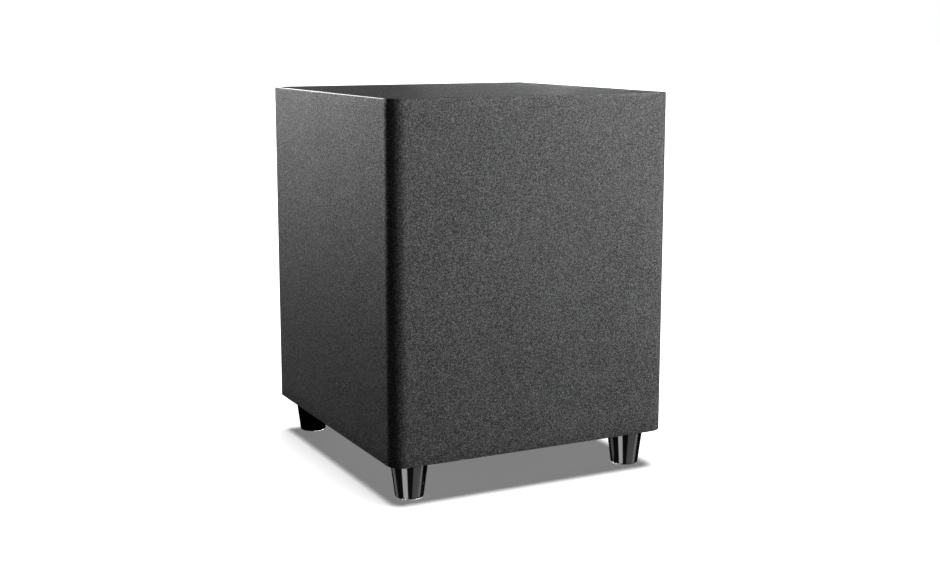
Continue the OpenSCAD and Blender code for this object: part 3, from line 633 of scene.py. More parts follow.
FINISHES: dict[str, Finish] = {
    "textured_vinyl": Finish(
        (0.004, 0.004, 0.0042), (0.25, 0.252, 0.257), (0.66, 0.27), Pattern.PEBBLE, 0.62, 0.33,
        cloud=0.04, cloud_size=60, polished=0.36,
    ),
    "bare_board": Finish(
        (0.30, 0.19, 0.10), (0.52, 0.38, 0.23), (0.75, 0.6), Pattern.WOOD, 4.0, 0.15, stretch=(1, 1, 14),
    ),
    "wadding": Finish(
        (0.42, 0.41, 0.39), (0.80, 0.79, 0.76), (0.95, 0.85), Pattern.FIBRE, 3.0, 0.9,
        sheen=0.5, cloud_size=15,
    ),
    "gloss_black_plastic": Finish(
        (0.004, 0.004, 0.0045), (0.008, 0.008, 0.009), (0.10, 0.07), Pattern.MOULDED, 2.5, 0.003,
    ),
    "rubber_black": Finish(
        (0.008, 0.008, 0.008), (0.028, 0.028, 0.028), (0.72, 0.55), Pattern.MOULDED, 0.5, 0.02, sheen=0.15,
    ),
    "zinc_steel": Finish(
        (0.38, 0.39, 0.41), (0.66, 0.67, 0.69), (0.42, 0.26), Pattern.BRUSHED, 0.35, 0.006,
        stretch=(1, 1, 8), metallic=1.0,
    ),
    "brass": Finish(
        (0.62, 0.42, 0.13), (0.90, 0.68, 0.30), (0.30, 0.16), Pattern.BRUSHED, 0.3, 0.004,
        stretch=(1, 6, 1), metallic=1.0,
    ),
    "black_steel": Finish(
        (0.010, 0.010, 0.011), (0.032, 0.032, 0.034), (0.50, 0.36), Pattern.POWDER, 0.7, 0.025, cloud=0.15,
    ),
    "cone_paper": Finish(
        (0.008, 0.008, 0.009), (0.040, 0.040, 0.042), (0.92, 0.74), Pattern.FIBRE, 1.6, 0.10, cloud=0.25,
    ),
    "coil_film": Finish(
        (0.34, 0.17, 0.03), (0.58, 0.34, 0.09), (0.34, 0.22), Pattern.MOULDED, 1.2, 0.006, coat=0.3,
    ),
    "copper_wire": Finish(
        (0.42, 0.14, 0.05), (0.78, 0.33, 0.15), (0.34, 0.20), Pattern.BRUSHED, 0.3, 0.005, metallic=1.0,
    ),
    "spider_cloth": Finish(
        (0.30, 0.19, 0.06), (0.70, 0.52, 0.24), (0.88, 0.70), Pattern.WEAVE, 0.9, 0.09, sheen=0.3, cloud=0.15,
    ),
    "ferrite": Finish(
        (0.022, 0.022, 0.024), (0.075, 0.075, 0.080), (0.70, 0.50), Pattern.POWDER, 0.8, 0.03, cloud=0.3,
    ),
    "black_plastic": Finish(
        (0.010, 0.010, 0.0105), (0.030, 0.030, 0.031), (0.52, 0.40), Pattern.MOULDED, 0.45, 0.018,
    ),
    "black_sheet_metal": Finish(
        (0.012, 0.012, 0.013), (0.036, 0.036, 0.038), (0.48, 0.34), Pattern.POWDER, 0.9, 0.035, cloud=0.1,
    ),
    "circuit_board": Finish(
        (0.008, 0.060, 0.025), (0.030, 0.170, 0.075), (0.38, 0.26), Pattern.WEAVE, 1.4, 0.01, coat=0.4,
    ),
    "aluminium": Finish(
        (0.50, 0.51, 0.53), (0.80, 0.81, 0.83), (0.40, 0.24), Pattern.BRUSHED, 0.4, 0.008,
        stretch=(12, 1, 1), metallic=1.0,
    ),
    "clear_lens": Finish(
        (0.45, 0.58, 0.70), (0.70, 0.80, 0.90), (0.12, 0.07), Pattern.MOULDED, 3.0, 0.004, transmission=0.4,
    ),
    "cable_jacket": Finish(
        (0.014, 0.014, 0.014), (0.042, 0.042, 0.042), (0.55, 0.42), Pattern.MOULDED, 0.6, 0.015,
    ),
    "white_ink": Finish(
        (0.56, 0.56, 0.55), (0.80, 0.80, 0.78), (0.62, 0.50), Pattern.MOULDED, 0.4, 0.01,
    ),
    "red_plastic": Finish(
        (0.26, 0.008, 0.008), (0.52, 0.025, 0.022), (0.34, 0.24), Pattern.MOULDED, 0.5, 0.008,
    ),
    "white_plastic": Finish(
        (0.58, 0.58, 0.55), (0.80, 0.80, 0.77), (0.36, 0.26), Pattern.MOULDED, 0.5, 0.008,
    ),
}


class Paint:
    """Makes each finish's material once and gives it to every piece that has that finish."""

    made: ClassVar[dict[str, bpy.types.Material]] = {}

    @classmethod
    def of(cls, slot: str) -> bpy.types.Material:
        """The material of a finish, made when it is first asked for."""
        if slot not in cls.made:
            cls.made[slot] = FINISHES[slot].build(slot)
        return cls.made[slot]


# ---- Pieces ----

HARD_EDGE = 35.0  # edges of the CAD's shapes that turn more than this many degrees are rounded
SAME_POINT = 2e-6  # points nearer than this are one point, in metres
NODE_SLOTS: dict[str, str] = {part["node"]: part["material_slot"] for part in frame["record"]["subparts"]}


def add_object(
    name: str, mesh: bpy.types.Mesh, slot: str, body: str, stands_for: tuple[str, ...]
) -> bpy.types.Object:
    """Puts a finished mesh on a body, with its finish and the CAD nodes it stands for.

    Args:
        name: Name of the piece.
        mesh: The mesh, in place, in metres.
        slot: The record's material slot that it takes its finish from.
        body: The CAD body that it moves with.
        stands_for: The CAD nodes that it replaces.

    Returns:
        The new object.
    """
    piece = bpy.data.objects.new(name, mesh)
    bpy.context.scene.collection.objects.link(piece)
    mesh.materials.clear()
    mesh.materials.append(Paint.of(slot))
    if body:
        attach(piece, body)
    if stands_for:
        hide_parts(*stands_for)
    LOG.info("%s: %d faces, on %s", name, len(mesh.polygons), body or "two bodies")
    return piece


def make(
    name: str, shape: Shape, slot: str, body: str = "cabinet", stands_for: tuple[str, ...] = (),
    sharp: float = 32.0,
) -> bpy.types.Object:
    """Turns a shape into a closed, outward-facing, smoothly shaded piece.

    Args:
        name: Name of the piece.
        shape: Its points and faces, in millimetres.
        slot: The record's material slot that it takes its finish from.
        body: The CAD body that it moves with, or nothing for a piece left on no body.
        stands_for: The CAD nodes that it replaces.
        sharp: Edges that turn more than this many degrees stay sharp.

    Returns:
        The new piece.
    """
    mesh = bpy.data.meshes.new(name)
    faces = [row for array in shape.faces for row in array.tolist()]
    mesh.from_pydata((shape.points * MM).tolist(), [], faces)
    work = bmesh.new()
    work.from_mesh(mesh)
    bmesh.ops.remove_doubles(work, verts=work.verts, dist=SAME_POINT)
    bmesh.ops.dissolve_degenerate(work, edges=work.edges, dist=1e-7)
    bmesh.ops.recalc_face_normals(work, faces=work.faces)
    work.to_mesh(mesh)
    work.free()
    mesh.validate()
    mesh.shade_smooth()
    mesh.set_sharp_from_angle(angle=math.radians(sharp))
    return add_object(name, mesh, slot, body, stands_for)


def round_edges(piece: bpy.types.Object, width: float, angle: float) -> None:
    """Rounds a piece's hard edges.

    Args:
        piece: The piece.
        width: Width of the rounded edges, in millimetres.
        angle: Edges that turn more than this many degrees are rounded.
    """
    edges = piece.modifiers.new("soft_edges", "BEVEL")
    edges.width = width * MM
    edges.segments = 2
    edges.limit_method = "ANGLE"
    edges.angle_limit = math.radians(angle)


def softened(node: str, name: str, width: float) -> bpy.types.Object:
    """A copy of a CAD node with its points merged and its hard edges rounded.

    Args:
        node: The CAD node.
        name: Name of the piece.
        width: Width of the rounded edges, in millimetres.

    Returns:
        The new piece, which stands for the node.
    """
    source = frame["nodes"][node]
    mesh = source.data.copy()
    work = bmesh.new()
    work.from_mesh(mesh)
    bmesh.ops.remove_doubles(work, verts=work.verts, dist=SAME_POINT)
    bmesh.ops.dissolve_limit(work, angle_limit=math.radians(1.0), verts=work.verts, edges=work.edges)
    work.to_mesh(mesh)
    work.free()
    mesh.shade_smooth()
    mesh.set_sharp_from_angle(angle=math.radians(HARD_EDGE))
    piece = add_object(name, mesh, NODE_SLOTS[node], source["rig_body"], (node,))
    round_edges(piece, width, HARD_EDGE)
    return piece


@dataclass(frozen=True)
class Screw:
    """A pan-head screw with a cross recess.

    Attributes:
        radius: Radius of the head, in millimetres.
        height: Height of the head.
        shank: Radius of the shank.
        length: Length of the shank.
        recess: Half the length of the cross.
        fall: Share of its height that the head loses towards its rim.
        depth: Depth of the recess, as a share of the head's height.
        arm: Half the width of an arm of the cross, as a share of the head's radius.
        wall: Width of the recess's sloping wall, as a share of the head's radius.
    """

    radius: float
    height: float
    shank: float
    length: float
    recess: float
    fall: float = 0.35
    depth: float = 0.62
    arm: float = 0.13
    wall: float = 0.09

    def arm_share(self, along: Array, across: Array) -> Array:
        """1 inside an arm of the cross and 0 outside it, with a sloping wall between."""
        wall, arm = self.wall * self.radius, self.arm * self.radius
        inside = np.minimum((self.recess - np.abs(along)) / wall, (arm - np.abs(across)) / wall + 0.5)
        return np.clip(inside, 0, 1)

    def shape(self) -> Shape:
        """The screw, standing on +Z with its head's underside at zero.

        The head's top is a height over a polar grid: h (1 - f (r / R)^4), where f is the fall, less
        the recess's depth where the point lies in either arm of the cross.

        Returns:
            The closed screw.
        """
        ring = self.radius * np.linspace(0, 1, 15)
        top = self.height * (1 - self.fall * (ring / self.radius) ** 4)
        edge = np.array([
            [self.radius, 0.3 * self.height], [self.radius, 0], [self.shank, 0],
            [self.shank, self.shank - self.length], [0, -self.length],
        ])
        turn = np.linspace(0, 2 * np.pi, 48, endpoint=False)
        r = np.r_[ring, edge[:, 0]][:, None]
        x, y = r * np.cos(turn), r * np.sin(turn)
        sunk = self.depth * self.height * np.maximum(self.arm_share(x, y), self.arm_share(y, x))
        sunk[len(ring):] = 0
        return Shape.grid(np.stack([x, y, np.r_[top, edge[:, 1]][:, None] - sunk], -1))


def facing(shape: Shape, axis: Axis, flip: bool = False) -> Shape:
    """Turns a shape that stands on +Z to stand on another axis, or on its negative."""
    points = shape.points * np.array([1, 1, -1]) if flip else shape.points
    return Shape(points[:, list(axis.value)], shape.faces)


# ---- The cabinet ----


@dataclass
class Cabinet:
    """Six wrapped boards that read as one smooth box, with two rounded upright edges at the front.

    Attributes:
        top_edge: Rounding of the rim of the top, in millimetres.
        low_edge: Rounding of the rim of the bottom.
        back_edge: Rounding of the two upright edges at the back.
        seam: Rounding of the rear board's edges, where it sits between its neighbours.
        recess_lip: Rounding of the rim of the driver's recess.
        gap: Clearance round the driver's flange.
        ledge: Width of the ledge that the flange is screwed to.
        side_steps: Pieces that each straight side is cut into where it faces the driver's hole.
    """

    top_edge: float = 1.0
    low_edge: float = 0.9
    back_edge: float = 0.9
    seam: float = 0.5
    recess_lip: float = 0.5
    gap: float = 0.4
    ledge: float = 12.9
    side_steps: int = 12

    def __post_init__(self) -> None:
        """Takes the boards' places from the CAD."""
        self.lid = Extent.of("top_panel")
        self.low_z = Extent.of("bottom_panel").low[2]
        front = Extent.of("front_panel")
        self.corner = front.high[1] - front.low[1]
        wall = self.lid.high[2] - self.lid.low[2]
        self.inner = (self.low_z + wall, self.lid.high[2] - wall)

    def footprint(self) -> Array:
        """The cabinet's outline from above, anticlockwise from its front left corner."""
        radii = np.array([self.corner, self.corner, self.back_edge, self.back_edge])
        return fillet(rectangle(self.lid.low, self.lid.high), radii, 24)

    def top(self) -> None:
        """The top board, with its rim rounded all round, where the stretched vinyl is smoother."""
        rows = levels(self.lid.low[2], self.lid.high[2], 0, self.top_edge, 5)
        board = slab(self.footprint(), rows, Axis.Z)
        mesh = make("top_board", board, "textured_vinyl", stands_for=("top_panel",)).data
        points = np.zeros(len(mesh.vertices) * 3, np.float32)
        mesh.vertices.foreach_get("co", points)
        down = self.lid.high[2] - points[2::3] / MM
        on_rim = ((down > 0.02) & (down < self.top_edge - 0.02)).astype(np.float32)
        mesh.attributes.new("polish", "FLOAT", "POINT").data.foreach_set("value", on_rim)

    def bottom(self) -> None:
        """The bottom board, with the stepped hole for the driver.

        Each row of its grid is a ring with one point on each ray from the driver's axis: the inset
        outlines of the rim first, then the circles of the hole.
        """
        gasket = Extent.of("flange_gasket")
        recess_r = Extent.of("basket").radius + self.gap
        hole_r = recess_r - self.ledge
        ledge_z = gasket.high[2]
        outline = self.footprint() - gasket.mid[:2]
        ahead = np.roll(outline, -1, 0)
        sides = [np.linspace(a, b, self.side_steps, endpoint=False) for a, b in zip(outline, ahead)]
        straight = np.linalg.norm(ahead - outline, axis=1) > self.corner
        outline = np.vstack([side if cut else side[:1] for side, cut in zip(sides, straight)])
        ray = unit(outline)
        z0, z1 = self.low_z, self.inner[0]
        rim = levels(z0, z1, self.low_edge, 0, 4)[::-1]
        rings = [np.c_[inset(outline, back), np.full(len(outline), z)] for back, z in rim]
        lip = self.recess_lip
        hole = [(recess_r + lip, z0), (recess_r + 0.3 * lip, z0 + 0.3 * lip), (recess_r, z0 + lip)]
        hole += [(recess_r, ledge_z), (hole_r, ledge_z), (hole_r, z1)]
        rings += [np.c_[ray * r, np.full(len(ray), z)] for r, z in hole]
        shape = Shape.grid(np.array(rings), wrap_rows=True).moved(gasket.axis_z())
        make("bottom_board", shape, "textured_vinyl", stands_for=("bottom_panel",))

    def upright(self, node: str, name: str, radii: list[float], steps: int) -> None:
        """One board between the top and the bottom, with some of its upright edges rounded.

        Args:
            node: The CAD node.
            name: Name of the piece.
            radii: Rounding of its upright edges, anticlockwise from the front left one.
            steps: Straight pieces in each rounded edge.
        """
        board = Extent.of(node)
        outline = fillet(rectangle(board.low, board.high), np.array(radii), steps)
        make(name, slab(outline, levels(*self.inner), Axis.Z), "textured_vinyl", stands_for=(node,))

    def build(self) -> None:
        """Builds all six boards: the front one's two outer edges are full quarter rounds."""
        self.top()
        self.bottom()
        quarter = self.corner * 0.9999
        self.upright("front_panel", "front_board", [quarter, quarter, 0, 0], 24)
        self.upright("left_panel", "left_board", [0, 0, 0, self.back_edge], 6)
        self.upright("right_panel", "right_board", [0, 0, self.back_edge, 0], 6)
        softened("rear_panel", "rear_board", self.seam)


@dataclass
class Feet:
    """Four tapered glossy feet with ringed rubber pads.

    Attributes:
        taper: How much smaller a foot's radius is at the floor, in millimetres.
        top_edge: Rounding of a foot's upper edge.
        edge: Rounding of its lower edge.
        inner_edge: Rounding of the rim round its pad.
        screw_hole: Radius of the hole for the screw.
        socket: Radius of the recess for the screw's head.
        seat: Height of the bottom of that recess.
        groove: Depth of the rings in the pad.
        spacing: Distance between those rings.
        pad_edge: Width and height of the pad's slanted edge.
    """

    taper: float = 5.0
    top_edge: float = 0.5
    edge: float = 1.6
    inner_edge: float = 0.3
    screw_hole: float = 3.05
    socket: float = 6.6
    seat: float = 12.0
    groove: float = 0.35
    spacing: float = 2.1
    pad_edge: float = 0.8

    def foot(self, corner: str) -> None:
        """One foot, turned on its own upright axis."""
        box, pad = Extent.of(f"foot_{corner}"), Extent.of(f"foot_pad_{corner}")
        z0, z1, pad_z = box.low[2], box.high[2], pad.high[2]
        pad_r = pad.radius + FIT
        section = np.array([
            [box.radius, z1], [box.radius - self.taper, z0], [pad_r, z0], [pad_r, pad_z],
            [self.socket, pad_z], [self.socket, self.seat], [self.screw_hole, self.seat],
            [self.screw_hole, z1],
        ])
        radii = np.array([self.top_edge, self.edge, self.inner_edge] + [0.0] * 5)
        shape = revolve(fillet(section, radii, 6), Axis.Z, box.axis_z(), 128)
        make(f"turned_foot_{corner}", shape, "gloss_black_plastic", stands_for=(f"foot_{corner}",))

    def pad(self, corner: str) -> None:
        """One rubber pad, with shallow rings in the face that meets the floor.

        Its face is raised by the groove's depth times sin^2, over every other half wave.
        """
        box = Extent.of(f"foot_pad_{corner}")
        radius, z0, z1, slant = box.radius, box.low[2], box.high[2], self.pad_edge
        r = np.linspace(0, radius - slant, 41)
        face = z0 + self.groove * np.clip(np.sin(2 * np.pi * r / self.spacing), 0, 1) ** 2
        rim = [[radius - 0.25, z0 + 0.2], [radius, z0 + slant], [radius, z1], [0, z1]]
        profile = np.vstack([np.stack([r, face], -1), rim])
        shape = revolve(profile, Axis.Z, box.axis_z(), 64, closed=False)
        make(f"ringed_pad_{corner}", shape, "rubber_black", stands_for=(f"foot_pad_{corner}",))

    def build(self) -> None:
        """Builds the four feet and their pads."""
        for corner in ("front_left", "front_right", "rear_left", "rear_right"):
            self.foot(corner)
            self.pad(corner)


# ---- The driver ----


@dataclass
class Driver:
    """The down-firing driver: basket, surround, cone, coil and magnet system.

    Heights are measured up from the face of the flange, in millimetres.

    Attributes:
        lip: Height of the plane that the surround is glued to.
        flange_t: Thickness of the flange.
        shell_r: Outer radius of the basket just behind the flange.
        shell_z: Height up to which the basket stays that wide.
        shoulder_r: Outer radius where its slope ends.
        back_r: Outer radius of the cup that holds the magnet.
        cup_z: Heights of the spider's ledge and of the basket's back.
        plate_r: Radius of the hole in its back.
        sheet: Thickness of the basket's metal.
        spokes: Number of spokes.
        window_half: Half the width of the window between two spokes.
        window_z: Heights between which the windows are open.
        roll: Radius of the surround's half roll.
        roll_lip: Width of the surround's glued lip outside its roll.
        rubber: Thickness of the surround.
        paper: Thickness of the cone.
        cone_lip: Width of the cone's flat edge.
        rib_r: Radii of the ribs pressed into the cone.
        rib_h: Height of those ribs.
        rib_w: Width of those ribs.
        film: Thickness of the coil's former.
        wire: Pitch of the winding's turns.
        wave: Half the height of the spider's waves.
        spider_lip: Width of the spider's glued edge.
        cloth: Thickness of the spider.
        pole_gap: Clearance between the former and the pole.
        plate_gap: Clearance between the former and the front plate, with the winding between.
        magnet_gap: How much wider the magnet's hole is than the front plate's.
        vent_r: Radius of the vent through the pole.
        screws: Number of screws in the flange.
        screw: Size of those screws.
        lead_r: Radius of a speaker wire.
        tinsel_r: Radius of a tinsel lead.
        lead_route: Points along the right-hand speaker wire, from the amplifier's box to its tag.
        tinsel_route: Points along the right-hand tinsel lead, from the cone to its tag.
    """

    lip: float = 2.4
    flange_t: float = 5.0
    shell_r: float = 90.0
    shell_z: float = 14.0
    shoulder_r: float = 60.0
    back_r: float = 46.0
    cup_z: tuple[float, float] = (46.0, 52.0)
    plate_r: float = 30.6
    sheet: float = 2.2
    spokes: int = 6
    window_half: float = 26.0
    window_z: tuple[float, float] = (17.0, 44.0)
    roll: float = 5.7
    roll_lip: float = 5.95
    rubber: float = 1.2
    paper: float = 1.2
    cone_lip: float = 4.5
    rib_r: tuple[float, ...] = (38.0, 49.0, 60.0)
    rib_h: float = 0.7
    rib_w: float = 1.6
    film: float = 0.5
    wire: float = 0.5
    wave: float = 0.75
    spider_lip: float = 4.0
    cloth: float = 0.6
    pole_gap: float = 1.1
    plate_gap: float = 1.4
    magnet_gap: float = 7.0
    vent_r: float = 5.0
    screws: int = 8
    screw: Screw = Screw(3.6, 2.0, 1.9, 12.0, 2.0)
    lead_r: float = 1.4
    tinsel_r: float = 0.7
    lead_route: tuple[tuple[float, float, float], ...] = (
        (2, 94, 110), (2, 90, 110), (2, 86, 110), (2, 80, 98), (2.6, 79, 74), (4, 76, 58), (5, 71, 50),
        (5, 68, 49.4),
    )
    tinsel_route: tuple[tuple[float, float, float], ...] = (
        (6, 40, 25.72), (6, 50, 33), (6, 60, 33), (5.6, 66, 39), (5, 66.6, 48.9),
    )

    def __post_init__(self) -> None:
        """Takes the driver's place and main sizes from the CAD."""
        basket = Extent.of("basket")
        self.centre = basket.axis_z() + [0, 0, basket.low[2]]
        self.flange_r = basket.radius
        self.seat_r = Extent.of("surround").radius
        cone = Extent.of("cone")
        self.cone_r = cone.radius
        self.flat_r = self.cone_r - self.cone_lip
        self.neck_z = cone.high[2] - self.centre[2]
        self.neck_r = Extent.of("coil_former").radius

    def reach(self, node: str) -> tuple[float, float, float]:
        """The radius, the lower and the upper height of one of the driver's nodes."""
        box = Extent.of(node)
        return box.radius, box.low[2] - self.centre[2], box.high[2] - self.centre[2]

    def turned(
        self, name: str, profile: Array, slot: str, node: str, body: str = "cabinet", segments: int = 160,
        sharp: float = 32.0,
    ) -> bpy.types.Object:
        """Makes one piece turned about the driver's axis.

        Args:
            name: Name of the piece.
            profile: Its closed section, in rows of radius and height.
            slot: Its finish.
            node: The CAD node that it stands for, or nothing.
            body: The body that it moves with.
            segments: Steps round the circle.
            sharp: Edges that turn more than this many degrees stay sharp.

        Returns:
            The new piece.
        """
        shape = revolve(profile, Axis.Z, self.centre, segments)
        return make(name, shape, slot, body, (node,) if node else (), sharp)

    def flange(self) -> None:
        """The basket's front ring, with a raised outer bead and a step down to the surround's lip."""
        seat, rim, top = self.seat_r + FIT, self.flange_r, self.flange_t
        glued, inner = self.lip + 0.02, self.shell_r - 1.2
        corners = np.array([
            [seat, 0.5], [seat + 1.6, 0.5], [seat + 2.2, 0.0], [rim, 0.0], [rim, top], [inner, top],
            [inner, glued], [seat, glued],
        ])
        radii = np.array([0.2, 0.25, 0.25, 0.8, 0.3, 0.3, 0.2, 0.2])
        self.turned("flange_ring", fillet(corners, radii, 4), "black_steel", "basket")

    def basket(self) -> None:
        """The basket behind the flange, pressed from sheet, with a window between each two spokes.

        The sheet's middle line is turned about the axis, the quads inside the windows are left out,
        and a modifier gives the sheet its thickness.
        """
        half, (ledge_z, back_z) = self.sheet / 2, self.cup_z
        line = np.array([
            [self.shell_r - half, self.flange_t], [self.shell_r - half, self.shell_z],
            [self.shoulder_r - half, ledge_z + half], [self.back_r + half, ledge_z + half],
            [self.back_r + half, back_z - half], [self.plate_r, back_z - half],
        ])
        pieces = [np.linspace(a, b, 10, endpoint=False) for a, b in zip(line[:-1], line[1:])]
        line = soften_line(np.vstack(pieces + [line[-1:]]), 1)
        turn = np.linspace(0, 2 * np.pi, 180, endpoint=False)
        r, h = line[:, :1], line[:, 1:]
        shape = Shape.grid(stand(r * np.cos(turn), r * np.sin(turn), h, Axis.Z, self.centre))
        quads = shape.faces[0]
        x, y, z = (shape.points[quads].mean(1) - self.centre).T
        part = 2 * np.pi / self.spokes
        off_middle = np.abs((np.arctan2(y, x) - np.pi / 2 + part / 2) % part - part / 2) * np.hypot(x, y)
        window = (off_middle < self.window_half) & (z > self.window_z[0]) & (z < self.window_z[1])
        pressed = Shape(shape.points, [quads[~window]])
        piece = make("basket_frame", pressed, "black_steel", stands_for=("basket",))
        sheet = piece.modifiers.new("sheet", "SOLIDIFY")
        sheet.thickness = self.sheet * MM
        sheet.offset = 0
        round_edges(piece, 0.3, 50)

    def blend_ring(self, piece: bpy.types.Object) -> None:
        """Bakes a ring's placement into its mesh and reads its points out into an array, which nothing uses.

        Args:
            piece: The ring.
        """
        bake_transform(piece)
        points = np.zeros(len(piece.data.vertices) * 3, np.float32)
        piece.data.vertices.foreach_get("co", points)

    def surround(self) -> None:
        """The rubber surround: a half roll between two glued lips, bulging out of the cabinet."""
        middle = self.seat_r - self.roll_lip - self.roll
        outer, inner = middle + self.roll, middle - self.roll
        a = np.linspace(0.06, np.pi - 0.06, 33)
        arc = np.stack([middle + self.roll * np.cos(a), self.lip - self.roll * np.sin(a)], -1)
        z = self.lip - self.rubber / 2
        lips = [[self.seat_r, z], [outer + 1.2, z]], [[inner - 1.2, z], [self.flat_r, z]]
        path = np.vstack([lips[0], arc, lips[1]])
        profile = thick_line(soften_line(path, 2), self.rubber)
        piece = self.turned("rubber_surround", profile, "rubber_black", "surround", "", 192)
        self.blend_ring(piece)

    def cone_height(self, r: Array | float) -> Array:
        """Height of the front of the cone at each radius: flat at its lip, then a straight slope with
        a smooth bump (cos^2) at each pressed rib."""
        slope = (self.neck_z - self.paper - self.lip) / (self.flat_r - self.neck_r)
        z = self.lip + slope * np.clip(self.flat_r - r, 0, None)
        for rib in self.rib_r:
            near = np.clip(np.abs(r - rib) / self.rib_w, 0, 1)
            z = z - self.rib_h * np.cos(near * np.pi / 2) ** 2
        return z

    def cone(self) -> None:
        """The pulp cone with its pressed ribs."""
        r = np.r_[self.cone_r, np.linspace(self.flat_r, self.neck_r + FIT, 150)]
        front = self.cone_height(r)
        profile = np.vstack([np.stack([r, front], -1), np.stack([r, front + self.paper], -1)[::-1]])
        self.turned("pulp_cone", profile, "cone_paper", "cone", "cone_assembly", 192)

    def dust_cap(self) -> None:
        """The domed cap over the coil: part of a ball whose rim meets the cone, and its bead of glue."""
        rim_r, apex, _ = self.reach("dust_cap")
        rise = self.cone_height(rim_r) - apex
        ball = (rim_r**2 + rise**2) / (2 * rise)
        a = np.linspace(0, np.arcsin(rim_r / ball), 40)
        outside = np.stack([ball * np.sin(a), apex + ball * (1 - np.cos(a))], -1)
        inside = outside[::-1] + [0, 0.8]
        inside[:, 0] = np.maximum(inside[:, 0] - 0.9 * (inside[:, 0] / rim_r) ** 2, 0)
        self.turned("domed_cap", np.vstack([outside, inside]), "cone_paper", "dust_cap", "cone_assembly")
        glue_r = rim_r + 0.5
        bead = circle(1.0, 14) * [1.1, 0.55] + [glue_r, self.cone_height(glue_r) - 0.1]
        self.turned("cap_glue", bead, "rubber_black", "", "cone_assembly")

    def coil(self) -> None:
        """The coil's film former and its winding, whose wire shows as rounded turns.

        The winding's radius swells by |sin| of the height over the wire's pitch.
        """
        former_r, z0, z1 = self.reach("coil_former")
        wall = rectangle((former_r - self.film, z0), (former_r, z1))
        self.turned("film_former", fillet(wall, 0.1, 2), "coil_film", "coil_former", "cone_assembly")
        winding_r, z0, z1 = self.reach("coil_winding")
        z = np.linspace(z0, z1, 169)
        swell = 0.18 * (np.abs(np.sin(np.pi * (z - z0) / self.wire)) - 1)
        inner = [[former_r + FIT, z1], [former_r + FIT, z0]]
        profile = np.vstack([np.stack([winding_r + swell, z], -1), inner])
        self.turned("wound_coil", profile, "copper_wire", "coil_winding", "cone_assembly", 96, 60)

    def spider(self) -> None:
        """The corrugated cloth that centres the coil: five raised-cosine waves between two flats."""
        outer, _, high = self.reach("spider")
        flat = outer - self.spider_lip
        r = np.r_[outer, np.linspace(flat, self.neck_r + FIT, 121)]
        share = np.clip((flat - r) / (flat - self.neck_r), 0, 1)
        z = high - self.cloth / 2 - self.wave * (1 - np.cos(10 * np.pi * (1 - share)))
        profile = thick_line(np.stack([r, z], -1), self.cloth)
        piece = self.turned("cloth_spider", profile, "spider_cloth", "spider", "", 160)
        self.blend_ring(piece)

    def motor(self) -> None:
        """The two steel plates, the pole with its vent, and the ring magnet between them."""
        gap_r = self.neck_r + self.plate_gap
        for node, name, inner, slot, rounding in (
            ("top_plate", "front_plate", gap_r, "zinc_steel", 0.6),
            ("ring_magnet", "ferrite_ring", gap_r + self.magnet_gap, "ferrite", 1.0),
        ):
            radius, z0, z1 = self.reach(node)
            section = rectangle((inner, z0), (radius, z1))
            self.turned(name, fillet(section, rounding, 4), slot, node)
        radius, z0, z1 = self.reach("pole_plate")
        pole, plate_z = self.neck_r - self.pole_gap, self.reach("ring_magnet")[2]
        section = np.array([
            [self.vent_r, z0], [pole, z0], [pole, plate_z], [radius, plate_z], [radius, z1],
            [self.vent_r, z1],
        ])
        radii = np.array([1.5, 0.8, 0.8, 1.2, 1.2, 1.5])
        self.turned("vented_pole", fillet(section, radii, 4), "zinc_steel", "pole_plate")

    def flange_screws(self) -> None:
        """The cross-head screws in the flange, each turned to its own angle."""
        ring_r = (self.flange_r + self.seat_r + FIT) / 2
        shapes = []
        for i in range(self.screws):
            angle = (i + 0.5) * 2 * np.pi / self.screws
            screw = facing(self.screw.shape(), Axis.Z, flip=True).turned(0.7 * i, np.zeros(3), (0, 1))
            shapes.append(screw.moved(self.centre + [ring_r * np.cos(angle), ring_r * np.sin(angle), 0]))
        make("flange_screws", shapes[0].joined(*shapes[1:]), "black_steel", stands_for=("driver_screws",))

    def leads(self) -> None:
        """The two speaker wires from the amplifier, and the two tinsel leads to the cone."""

        def pair(route: tuple, radius: float, steps: int, strands: int) -> Shape:
            """A cord along a route and its mirror image."""
            path = smooth_route(np.array(route, float), steps)
            right, left = (
                cord_shape(path * [side, 1, 1] + self.centre, radius, 14, strands) for side in (1, -1)
            )
            return right.joined(left)

        wires = pair(self.lead_route, self.lead_r, 8, 0)
        make("speaker_wires", wires, "cable_jacket", stands_for=("speaker_lead",))
        braids = pair(self.tinsel_route, self.tinsel_r, 14, 3)
        piece = make("tinsel_braids", braids, "copper_wire", "", ("tinsel_leads",), 60)
        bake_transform(piece)

    def build(self) -> None:
        """Builds the whole driver."""
        self.flange()
        self.basket()
        self.surround()
        self.cone()
        self.dust_cap()
        self.coil()
        self.spider()
        self.motor()
        self.flange_screws()
        self.leads()
        softened("terminal_board", "tag_board", 0.2)
        softened("flange_gasket", "flange_seal", 0.2)


# ---- The port ----


